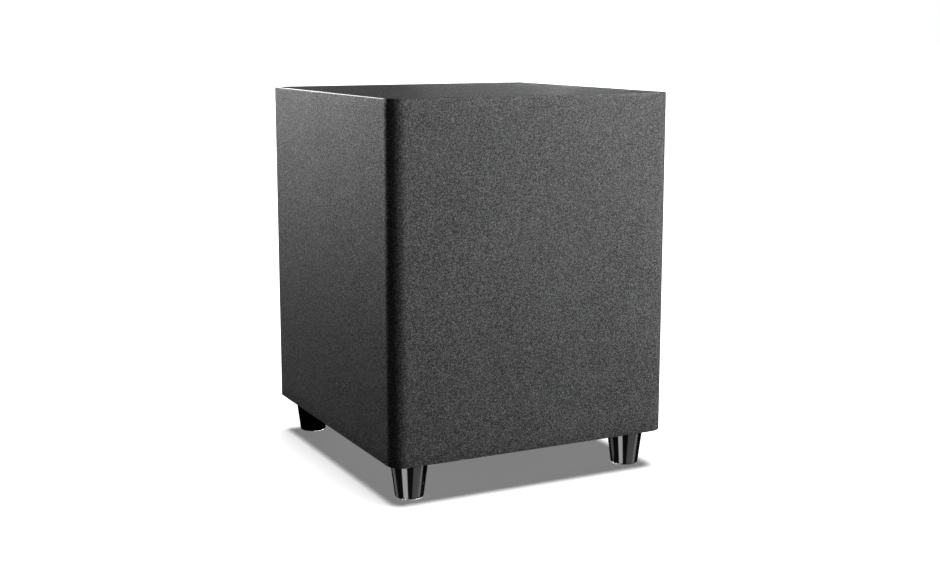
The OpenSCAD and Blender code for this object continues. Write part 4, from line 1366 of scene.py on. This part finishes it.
@dataclass
class Port:
    """The flared port in the back of the cabinet.

    Attributes:
        bore: Radius of the port, in millimetres.
        flare: Radius of the flare.
        wall: Thickness of the tube.
        rim_t: Thickness of the rim that lies on the board.
        sleeve_t: Thickness of the sleeve that takes the tube.
        depth: How far the flare's body reaches into the board.
    """

    bore: float = 30.0
    flare: float = 10.0
    wall: float = 2.5
    rim_t: float = 2.5
    sleeve_t: float = 2.0
    depth: float = 15.0

    def build(self) -> None:
        """Builds the mouth, whose flare is a quarter circle, and the tube behind it."""
        mouth, tube = Extent.of("port_flare"), Extent.of("port_tube")
        rim, face, end = mouth.radius, mouth.high[1], tube.high[1]
        board = face - self.rim_t
        root = board - self.depth
        a = np.linspace(0, np.pi / 2, 25)
        arc = np.stack([self.bore + self.flare * (1 - np.sin(a)), face - self.flare * (1 - np.cos(a))], -1)
        outer = self.bore + self.wall
        tube_r, hole_r = outer + FIT, outer + self.flare
        edge = np.array([[hole_r, board], [rim, board], [rim, face], [rim - 5, face]])
        back = [
            [self.bore, end], [tube_r, end], [tube_r, mouth.low[1]], [tube_r + self.sleeve_t, mouth.low[1]],
            [tube_r + self.sleeve_t, root], [hole_r, root],
        ]
        profile = np.vstack([fillet(edge, np.array([0, 0.3, 1.6, 0]), 6), arc, back])
        shape = revolve(profile, Axis.Y, mouth.axis_y(), 160)
        make("port_mouth", shape, "black_plastic", stands_for=("port_flare",))
        section = fillet(rectangle((self.bore, tube.low[1]), (outer, end)), np.array([1.0, 1.0, 0.1, 0.1]), 4)
        shape = revolve(section, Axis.Y, mouth.axis_y(), 128)
        make("port_pipe", shape, "black_plastic", stands_for=("port_tube",))


# ---- The amplifier ----


@dataclass
class Amplifier:
    """The plate amplifier on the back: its plate, controls, sockets, screws and what is behind them.

    Attributes:
        flutes: Grooves round a knob.
        flute_depth: Depth of those grooves, in millimetres.
        spindle_r: Radius of the hole in a knob.
        spindle_depth: Depth of that hole.
        mark_t: Thickness of the printed marks.
        sweep: Degrees that a knob turns each way.
        stem: Width and height of a switch lever's stem.
        carriage: Width and height of the carriage under it.
        travel: How far a switch lever slides.
        rocker_half: Half the height of the rocker.
        rocker_w: Half its width.
        rocker_y: How far the middle of its face is from its pin.
        dish: How much further out its face is at each end.
        rocker_tilt: Degrees that it leans at rest.
        jack_r: Radii of a socket's hole, sleeve, barrel and collar.
        jack_z: Heights of the two sockets above the plate's middle.
        plate_screw: Size of the plate's screws.
        screw_edge: Distance from a plate screw to the plate's edge.
        ear_screw: Size of the screws in the inlet's ears.
        ear_x: Distance from the inlet's middle to those screws.
    """

    flutes: int = 18
    flute_depth: float = 0.55
    spindle_r: float = 7.0
    spindle_depth: float = 9.1
    mark_t: float = 0.08
    sweep: float = 150.0
    stem: tuple[float, float] = (4.0, 3.4)
    carriage: tuple[float, float] = (8.0, 5.0)
    travel: float = 4.0
    rocker_half: float = 7.4
    rocker_w: float = 4.6
    rocker_y: float = 2.45
    dish: float = 1.15
    rocker_tilt: float = 8.0
    jack_r: tuple[float, float, float, float] = (3.5, 4.15, 5.5, 6.5)
    jack_z: tuple[float, float] = (67.0, 49.0)
    plate_screw: Screw = Screw(3.8, 2.0, 2.0, 12.0, 2.1)
    screw_edge: float = 6.0
    ear_screw: Screw = Screw(2.6, 1.6, 1.5, 6.0, 1.5)
    ear_x: float = 20.0

    def __post_init__(self) -> None:
        """Takes the plate's place from the CAD."""
        self.plate = Extent.of("amp_plate")
        self.face = self.plate.high[1]

    def mark(self, width: float, height: float, centre: Array) -> Shape:
        """One printed bar on the plate.

        Args:
            width: Its width, in millimetres.
            height: Its height.
            centre: Its middle, whose Y is left at zero.

        Returns:
            The bar.
        """
        return slab(oblong(width, height, 0.2, 3), levels(self.face, self.face + self.mark_t), Axis.Y, centre)

    def knob(self, name: str) -> None:
        """One fluted knob, its pointer, and the printed scale round it.

        Its radius is the profile's, less a groove of depth d cos^2 where the angle is within a
        groove's width, and only on the grip.

        Args:
            name: level or crossover, which the nodes and the body are named after.
        """
        box = Extent.of(f"{name}_knob")
        centre, base_r = box.axis_y(), box.radius
        y0, y1 = box.low[1], box.high[1] - 0.06
        grip_r, hole_y = base_r - 0.8, y0 + self.spindle_depth
        section = np.array([
            [self.spindle_r, y0], [base_r, y0], [base_r, y0 + 2], [grip_r + 0.3, y0 + 2.6], [grip_r, y1],
            [0, y1], [0, hole_y], [self.spindle_r, hole_y],
        ])
        profile = fillet(section, np.array([0.2, 0.4, 0.4, 0.4, 1.0, 0, 0, 0]), 6)
        r, y = profile[:, :1], profile[:, 1:]
        on_grip = (y > y0 + 2.4) & (r > 4)
        turn = np.linspace(0, 2 * np.pi, 12 * self.flutes, endpoint=False)
        r = r - np.clip(np.cos(self.flutes * turn), 0, 1) ** 2 * self.flute_depth * on_grip
        grip = Shape.grid(stand(r * np.sin(turn), r * np.cos(turn), y, Axis.Y, centre), wrap_rows=True)
        body = f"{name}_control"
        make(f"{name}_grip", grip, "black_plastic", body, (f"{name}_knob",), 40)
        rows = levels(y1 - 0.4, y1 + 0.05, 0, 0.03, 2)
        pointer = slab(oblong(1.0, 5.0, 0.45), rows, Axis.Y, centre + [0, 0, 5.2])
        make(f"{name}_pointer", pointer, "white_ink", body)
        self.scale(name, centre, base_r)

    def scale(self, name: str, centre: Array, radius: float) -> None:
        """Eleven printed marks on the plate round a knob, with long ones at both ends and the middle.

        Args:
            name: level or crossover.
            centre: The knob's axis.
            radius: The knob's radius.
        """
        marks = []
        for i, angle in enumerate(np.radians(np.linspace(-self.sweep, self.sweep, 11))):
            length = 3.2 if i in (0, 5, 10) else 1.9
            mark = self.mark(0.55, length, centre + [0, 0, radius + 1.6 + length / 2])
            marks.append(mark.turned(-angle, centre, (0, 2)))
        make(f"{name}_scale", marks[0].joined(*marks[1:]), "white_ink")

    def levers(self) -> None:
        """The two slide switches' ribbed levers on their carriages, and a printed mark at each end."""
        marks = []
        for name in ("phase", "mode"):
            box = Extent.of(f"{name}_lever")
            centre, top = box.axis_y(), box.high[1]
            start = box.low[1] + 2.5
            y = np.linspace(start + 1.9, top - 0.5, 25)
            ribs = 0.16 * (1 - np.cos(2 * np.pi * (y - y[0]) / 1.15))
            rows = np.vstack([[[0, start - 0.6]], np.stack([ribs, y], -1), [[0.15, top - 0.12], [0.5, top]]])
            stem = slab(oblong(*self.stem, 0.4, 4), rows, Axis.Y, centre)
            rows = levels(box.low[1], start, 0.2, 0.2, 2)
            lever = stem.joined(slab(oblong(*self.carriage, 0.3, 2), rows, Axis.Y, centre))
            make(f"{name}_slider_lever", lever, "black_plastic", f"{name}_slider", (f"{name}_lever",))
            marks += [self.mark(0.6, 2.4, centre + [x, 0, 5.0]) for x in (0.0, self.travel)]
        make("switch_marks", marks[0].joined(*marks[1:]), "white_ink")

    def rocker_face(self, z: Array | float) -> Array | float:
        """How far the rocker's face is from its pin at each height: its middle, and the dish times the
        square of the share of its half height."""
        return self.rocker_y + self.dish * (z / self.rocker_half) ** 2

    def rocker(self) -> None:
        """The mains rocker: a dished face carried across its width, tilted on its pin, with its marks."""
        pin = Extent.of("power_rocker").axis_y() + [0, self.face - 1.0, 0]
        half = self.rocker_half
        tilted = (-math.radians(self.rocker_tilt), pin, (1, 2))
        z = np.linspace(-half, half, 25)
        face = np.stack([self.rocker_face(z), z], -1)
        outline = np.vstack([face, [[-2, half - 1], [-4, 0], [-2, 1 - half]]])
        body = slab(outline, levels(-self.rocker_w, self.rocker_w, 0.5, 0.5, 3), Axis.X, pin)
        axle = slab(circle(1.2, 16), levels(-6.3, 6.3), Axis.X, pin)
        button = body.joined(axle).turned(*tilted)
        make("dished_rocker", button, "gloss_black_plastic", "power_button", ("power_rocker",))
        bar = slab(oblong(0.5, 2.6, 0.2, 3), levels(0, 0.15), Axis.Y)
        rings = [(1.32, 0), (1.32, 0.15), (0.935, 0.15), (0.935, 0)]
        ring = revolve(rings, Axis.Y, np.zeros(3), 16)
        marks = []
        for mark, z in ((bar, 4.4), (ring, -4.4)):
            lean = math.atan(2 * self.dish * z / half**2)
            seat = pin + [0, self.rocker_face(z) - 0.05, z]
            marks.append(mark.turned(-lean, np.zeros(3), (1, 2)).moved(seat).turned(*tilted))
        make("rocker_marks", marks[0].joined(marks[1]), "white_ink", "power_button")

    def jacks(self) -> None:
        """Two phono sockets: gilt sleeves with a rolled rim, coloured cores, and moulded collars."""
        box = Extent.of("rca_jacks")
        tip, root, back = box.high[1], self.face + 1.5, box.low[1]
        hole, sleeve_r, barrel_r, collar_r = self.jack_r
        spots = [np.array([box.mid[0], 0, self.plate.mid[2] + z]) for z in self.jack_z]

        def both(low: tuple, high: tuple, radii: tuple, steps: int, segments: int = 48) -> Shape:
            """The same turned part at both sockets, from its section's corners and their rounding."""
            section = fillet(rectangle(low, high), np.array(radii), steps)
            return revolve(section, Axis.Y, np.zeros(3), segments).repeated(spots)

        sleeves = both((hole, root), (sleeve_r, tip), (0, 0, 0.28, 0.28), 4, 64)
        make("jack_sleeves", sleeves, "brass", stands_for=("rca_jacks",))
        collars = both((sleeve_r, self.face), (collar_r, root), (0, 0, 0.5, 0.2), 4)
        barrels = both((hole, back), (barrel_r, self.face), (0.4, 0.4, 0, 0), 3)
        make("jack_collars", collars.joined(barrels), "black_plastic", stands_for=("rca_jacks",))
        core = fillet(rectangle((1.6, root - 6), (hole - FIT, tip - 1)), np.array([0, 0, 0.3, 0.3]), 3)
        for spot, place, slot in zip(spots, ("upper", "lower"), ("white_plastic", "red_plastic")):
            make(f"jack_core_{place}", revolve(core, Axis.Y, spot, 48), slot, stands_for=("rca_jacks",))

    def light(self) -> None:
        """The status light: a domed lens on a straight stem."""
        box = Extent.of("status_light")
        radius = box.radius
        a = np.linspace(0, np.pi / 2, 12)
        dome = np.stack([radius * np.cos(a), box.high[1] - radius + radius * np.sin(a)], -1)
        profile = np.vstack([[[0, box.low[1]], [radius, box.low[1]]], dome])
        lens = revolve(profile, Axis.Y, box.axis_y(), 48)
        make("light_lens", lens, "clear_lens", stands_for=("status_light",))

    def screws(self) -> None:
        """Ten plate screws, each turned to its own angle, and two in the inlet's ears."""
        x1, _, z1 = (self.plate.high - self.plate.low) / 2 - self.screw_edge
        places = [(x, z) for x in (-x1, 0, x1) for z in (-z1, z1)]
        places += [(x, z) for x in (-x1, x1) for z in (-z1 / 3, z1 / 3)]
        middle, front = self.plate.axis_y(), np.array([0, self.face, 0])
        screw = facing(self.plate_screw.shape(), Axis.Y)
        shapes = [
            screw.turned(1.1 * i, np.zeros(3), (0, 2)).moved(middle + front + [x, 0, z])
            for i, (x, z) in enumerate(places)
        ]
        inlet = Extent.of("mains_inlet")
        screw = facing(self.ear_screw.shape(), Axis.Y)
        for i, x in enumerate((-self.ear_x, self.ear_x)):
            seat = inlet.axis_y() + [x, inlet.high[1], 0]
            shapes.append(screw.turned(0.5 + i, np.zeros(3), (0, 2)).moved(seat))
        make("plate_screws", shapes[0].joined(*shapes[1:]), "black_steel", stands_for=("amp_screws",))

    def build(self) -> None:
        """Builds the plate and everything on and behind it."""
        softened("amp_plate", "control_plate", 0.45)
        softened("amp_gasket", "plate_seal", 0.25)
        for name in ("level", "crossover"):
            self.knob(name)
            softened(f"{name}_pot", f"{name}_potentiometer", 0.2)
            softened(f"{name}_shaft", f"{name}_spindle", 0.3)
        self.levers()
        self.rocker()
        self.jacks()
        self.light()
        self.screws()
        softened("mains_inlet", "appliance_inlet", 0.4)
        softened("inlet_pins", "inlet_blades", 0.35)
        softened("rocker_housing", "rocker_frame", 0.35)
        softened("phase_switch", "phase_switch_case", 0.25)
        softened("mode_switch", "mode_switch_case", 0.25)


@dataclass
class Interior:
    """What the closed cabinet hides: battens, wadding, the amplifier's box and its parts.

    Attributes:
        loft: Thickness of the wadding, in millimetres.
        batten: Width of a corner batten.
        under_top: Space between the side pads and the top one.
        plump: Exponent of the pads' section: the nearer to 0, the squarer.
        lump: Height of the pads' lumps.
        waves: Lengths of the three crossing waves over 2 pi: along Y, along Z and slantwise.
    """

    loft: float = 14.0
    batten: float = 18.0
    under_top: float = 10.0
    plump: float = 0.32
    lump: float = 1.1
    waves: tuple[float, float, float] = (9.0, 11.0, 7.0)

    def pad(self, name: str, low: Array, high: Array, phase: float) -> None:
        """One lofty pad inside a box: a super-ellipsoid, sign(c) |c|^e in each direction, whose surface
        is pushed in by three crossing sine waves.

        Args:
            name: Name of the pad.
            low: Lowest corner of its box.
            high: Highest corner of its box.
            phase: Shift of its waves, so that no two pads match.
        """
        up = np.linspace(-np.pi / 2, np.pi / 2, 70)[:, None]
        turn = np.linspace(-np.pi, np.pi, 160, endpoint=False)[None]

        def power(value: Array) -> Array:
            """The value raised to the plump exponent, with its sign kept."""
            return np.sign(value) * np.abs(value) ** self.plump

        x, y = power(np.cos(up)) * power(np.cos(turn)), power(np.cos(up)) * power(np.sin(turn))
        z = power(np.sin(up)) * np.ones_like(turn)
        half = (high - low) / 2 - 0.3
        points = np.stack([x, y, z], -1) * half
        along_y, along_z, slantwise = self.waves
        wave = np.sin(points[..., 1] / along_y + phase) + np.sin(points[..., 2] / along_z - phase)
        wave = wave + np.sin(points.sum(-1) / slantwise + 2 * phase)
        thin = np.argmin(half)
        points[..., thin] *= 1 - self.lump * (3 + wave) / 6 / half[thin]
        piece = make(name, Shape.grid(points + (low + high) / 2), "wadding", stands_for=("wadding",))

    def build(self) -> None:
        """Builds the wadding, and gives the plain blocks their soft edges."""
        space, battens = Extent.of("wadding"), Extent.of("corner_battens")
        (x0, y0, z0), (x1, y1, z1) = space.low, space.high
        top_z = z1 - self.loft
        side_z = top_z - self.under_top
        between = (battens.low[0] + self.batten, battens.high[0] - self.batten)
        self.pad("wadding_left", space.low, np.array([x0 + self.loft, y1, side_z]), 0.4)
        self.pad("wadding_right", np.array([x1 - self.loft, y0, z0]), np.array([x1, y1, side_z]), 1.7)
        self.pad("wadding_top", np.array([between[0], y0, top_z]), np.array([between[1], y1, z1]), 2.9)
        softened("corner_battens", "glued_battens", 0.6)
        softened("amp_box", "sealed_box", 0.5)
        softened("circuit_boards", "amplifier_boards", 0.15)
        softened("transformer", "wound_transformer", 0.4)
        softened("capacitors", "electrolytic_cans", 0.6)
        softened("heat_bracket", "heat_angle", 0.3)
        softened("transistors", "power_transistors", 0.2)
        softened("foot_screws", "foot_bolts", 0.25)
        softened("foot_inserts", "threaded_inserts", 0.25)


# ---- The studio ----


@dataclass(frozen=True)
class SoftLight:
    """One square soft box, placed by the direction that it shines from.

    Attributes:
        name: What it is for.
        azimuth: Degrees from straight in front, towards the object's right hand side.
        elevation: Degrees above the horizon.
        power: Its power, in watts.
        distance: How far it is from the point that it faces, in metres.
        aim: The point that it faces.
        size: Its width, in metres.
        only: Start of the names of the pieces that it is kept to, or nothing for all but the next.
        skip: Starts of the names of the pieces that it leaves out.
    """

    name: str
    azimuth: float
    elevation: float
    power: float
    distance: float = 1.8
    aim: tuple[float, float, float] = (0.0, -0.01, 0.21)
    size: float = 0.5
    only: str = ""
    skip: tuple[str, ...] = ("floor",)

    def build(self) -> bpy.types.Object:
        """Hangs the light, unseen by the camera.

        Returns:
            The light.
        """
        data = bpy.data.lights.new(self.name, "AREA")
        data.shape = "SQUARE"
        data.size = self.size
        data.energy = self.power
        light = bpy.data.objects.new(self.name, data)
        bpy.context.scene.collection.objects.link(light)
        around, up = math.radians(self.azimuth), math.radians(self.elevation)
        away = Vector((math.sin(around) * math.cos(up), -math.cos(around) * math.cos(up), math.sin(up)))
        light.location = Vector(self.aim) + away * self.distance
        light.rotation_mode = "QUATERNION"
        light.rotation_quaternion = (-away).to_track_quat("-Z", "Y")
        light.visible_camera = False
        return light


TO_TOP = {"aim": (0.05, 0.0, 0.39), "size": 0.4, "only": "top_board"}
TO_FOOT = {"aim": (0.0, -0.13, 0.02), "distance": 1.4, "only": "turned_foot_front"}


@dataclass
class Studio:
    """The pale floor, the white surround, the lights and the camera.

    Attributes:
        floor_half: Half the floor's width, in metres.
        floor_glow: Light that the floor gives of itself, so that its shade stays pale.
        sun_power: Strength of the overhead light.
        sun_soft: Its apparent width, in degrees.
        sun_lean: How far it leans to the right, in degrees.
        ambient: Strength of the surround as a light.
        lens: Focal length of the camera, in millimetres.
        camera_at: Where the camera is, in metres.
        camera_dip: How far it looks down, in degrees.
        camera_turn: How far it looks to the right of straight ahead, in degrees.
        camera_shift: How far its picture is moved down, as a share of its width.
        lights: The soft boxes.
    """

    floor_half: float = 30.0
    floor_glow: float = 0.195
    sun_power: float = 7.0
    sun_soft: float = 36.0
    sun_lean: float = 5.0
    ambient: float = 0.0
    lens: float = 53.9
    camera_at: tuple[float, float, float] = (-0.669, -1.3433, 0.450)
    camera_dip: float = 9.47
    camera_turn: float = 26.87
    camera_shift: float = -0.03
    lights: tuple[SoftLight, ...] = (
        SoftLight("front_key", 38, 24, 12.0, distance=0.9, aim=(0.10, -0.167, 0.38), size=0.35),
        SoftLight("front_side_key", 65, 12, 10.0),
        SoftLight("side_high_glow", -158, 22, 19.5, distance=1.6),
        SoftLight("corner_fill", -60, 10, 1.3),
        SoftLight("top_sheen", 143, 6, 1.3, **TO_TOP),
        SoftLight("top_far_sheen", 152, 3, 1.5, **TO_TOP),
        SoftLight("rear_key", 150, 22, 12.0, skip=("floor", "top_board")),
        SoftLight("under_fill", 155, -38, 20.0, aim=(0.0, 0.0, 0.04)),
        SoftLight("foot_strip", -58, -30, 11.0, size=0.7, **TO_FOOT),
        SoftLight("foot_band", 22, -30, 4.5, size=1.1, **TO_FOOT),
        SoftLight("foot_far_band", 60, -28, 1.6, size=0.5, **TO_FOOT),
        SoftLight("foot_rim", -135, -20, 1.2, size=0.7, **(TO_FOOT | {"aim": (0.0, 0.0, 0.02)})),
    )

    def floor(self) -> bpy.types.Object:
        """A plain pale floor that only its upper side shows, so that the object's underside can be seen.

        Returns:
            The floor.
        """
        half = self.floor_half
        mesh = bpy.data.meshes.new("floor")
        corners = [(-half, -half, 0), (half, -half, 0), (half, half, 0), (-half, half, 0)]
        mesh.from_pydata(corners, [], [(0, 1, 2, 3)])
        nodes = MaterialNodes("floor")
        pale = {"Base Color": (0.8, 0.8, 0.8, 1), "Roughness": 1.0, "Specular IOR Level": 0.0}
        glow = {"Emission Color": (1, 1, 1, 1), "Emission Strength": self.floor_glow}
        pale_shader = nodes.add("ShaderNodeBsdfPrincipled", {**pale, **glow}).outputs[0]
        clear = nodes.add("ShaderNodeBsdfTransparent").outputs[0]
        side = nodes.add("ShaderNodeNewGeometry").outputs["Backfacing"]
        mix = nodes.add("ShaderNodeMixShader", {0: side, 1: pale_shader, 2: clear})
        nodes.add("ShaderNodeOutputMaterial", {"Surface": mix.outputs[0]})
        mesh.materials.append(nodes.material)
        floor = bpy.data.objects.new("floor", mesh)
        bpy.context.scene.collection.objects.link(floor)
        floor.visible_shadow = False
        floor.visible_diffuse = False
        floor.visible_glossy = False
        return floor

    def surround(self) -> None:
        """A white surround: full white to look at, and dim as a light."""
        scene = bpy.context.scene
        world = bpy.data.worlds.new("surround")
        world.use_nodes = True
        scene.world = world
        tree = world.node_tree
        tree.nodes.clear()
        seen, lit = tree.nodes.new("ShaderNodeBackground"), tree.nodes.new("ShaderNodeBackground")
        seen.inputs[0].default_value = lit.inputs[0].default_value = (1, 1, 1, 1)
        seen.inputs[1].default_value, lit.inputs[1].default_value = 1.0, self.ambient
        path, mix = tree.nodes.new("ShaderNodeLightPath"), tree.nodes.new("ShaderNodeMixShader")
        out = tree.nodes.new("ShaderNodeOutputWorld")
        tree.links.new(path.outputs["Is Camera Ray"], mix.inputs[0])
        tree.links.new(lit.outputs[0], mix.inputs[1])
        tree.links.new(seen.outputs[0], mix.inputs[2])
        tree.links.new(mix.outputs[0], out.inputs[0])
        scene.view_settings.view_transform = "Standard"

    def overhead(self) -> bpy.types.Object:
        """The broad light from straight above that makes the floor white and the shade under the box.

        Returns:
            The light.
        """
        data = bpy.data.lights.new("overhead", "SUN")
        data.energy = self.sun_power
        data.angle = math.radians(self.sun_soft)
        sun = bpy.data.objects.new("overhead", data)
        bpy.context.scene.collection.objects.link(sun)
        sun.rotation_euler = (0.0, math.radians(self.sun_lean), 0.0)
        return sun

    def share_out(self, light: bpy.types.Object, pieces: list[bpy.types.Object], state: str) -> None:
        """Keeps a light to some pieces alone, or off them.

        Args:
            light: The light.
            pieces: The pieces.
            state: INCLUDE to light only them, EXCLUDE to light everything else.
        """
        group = bpy.data.collections.new(f"{light.name}_lights")
        light.light_linking.receiver_collection = group
        for piece in pieces:
            group.objects.link(piece)
        for member in group.collection_objects:
            member.light_linking.link_state = state

    def camera(self) -> None:
        """The camera, a little above the top and to the left of the front."""
        data = bpy.data.cameras.new("camera")
        data.lens, data.sensor_width = self.lens, 36.0
        data.shift_y = self.camera_shift
        data.clip_start, data.clip_end = 0.05, 100.0
        camera = bpy.data.objects.new("camera", data)
        bpy.context.scene.collection.objects.link(camera)
        camera.location = self.camera_at
        camera.rotation_euler = (math.radians(90 - self.camera_dip), 0.0, -math.radians(self.camera_turn))
        bpy.context.scene.camera = camera

    def build(self) -> None:
        """Sets up the whole studio."""
        floor = self.floor()
        self.surround()
        self.share_out(self.overhead(), [floor], "INCLUDE")
        for light in self.lights:
            starts = light.only or light.skip
            chosen = [piece for piece in bpy.data.objects if piece.name.startswith(starts)]
            self.share_out(light.build(), chosen, "INCLUDE" if light.only else "EXCLUDE")
        self.camera()


def dress_the_rest() -> None:
    """Gives each CAD node that still shows its own finish."""
    for node, piece in frame["nodes"].items():
        if not piece.hide_render:
            piece.data.materials.clear()
            piece.data.materials.append(Paint.of(NODE_SLOTS[node]))
            LOG.info("%s: kept, %s", node, NODE_SLOTS[node])


def main() -> None:
    """Builds the studio and the subwoofer, one sub-assembly after another."""
    logging.basicConfig(level=logging.INFO, format="%(name)s %(message)s", stream=sys.stdout)
    for assembly in (Cabinet(), Feet(), Driver(), Port(), Amplifier(), Interior()):
        assembly.build()
        LOG.info("%s done", type(assembly).__name__)
    dress_the_rest()
    Studio().build()


if __name__ == "__main__":
    main()
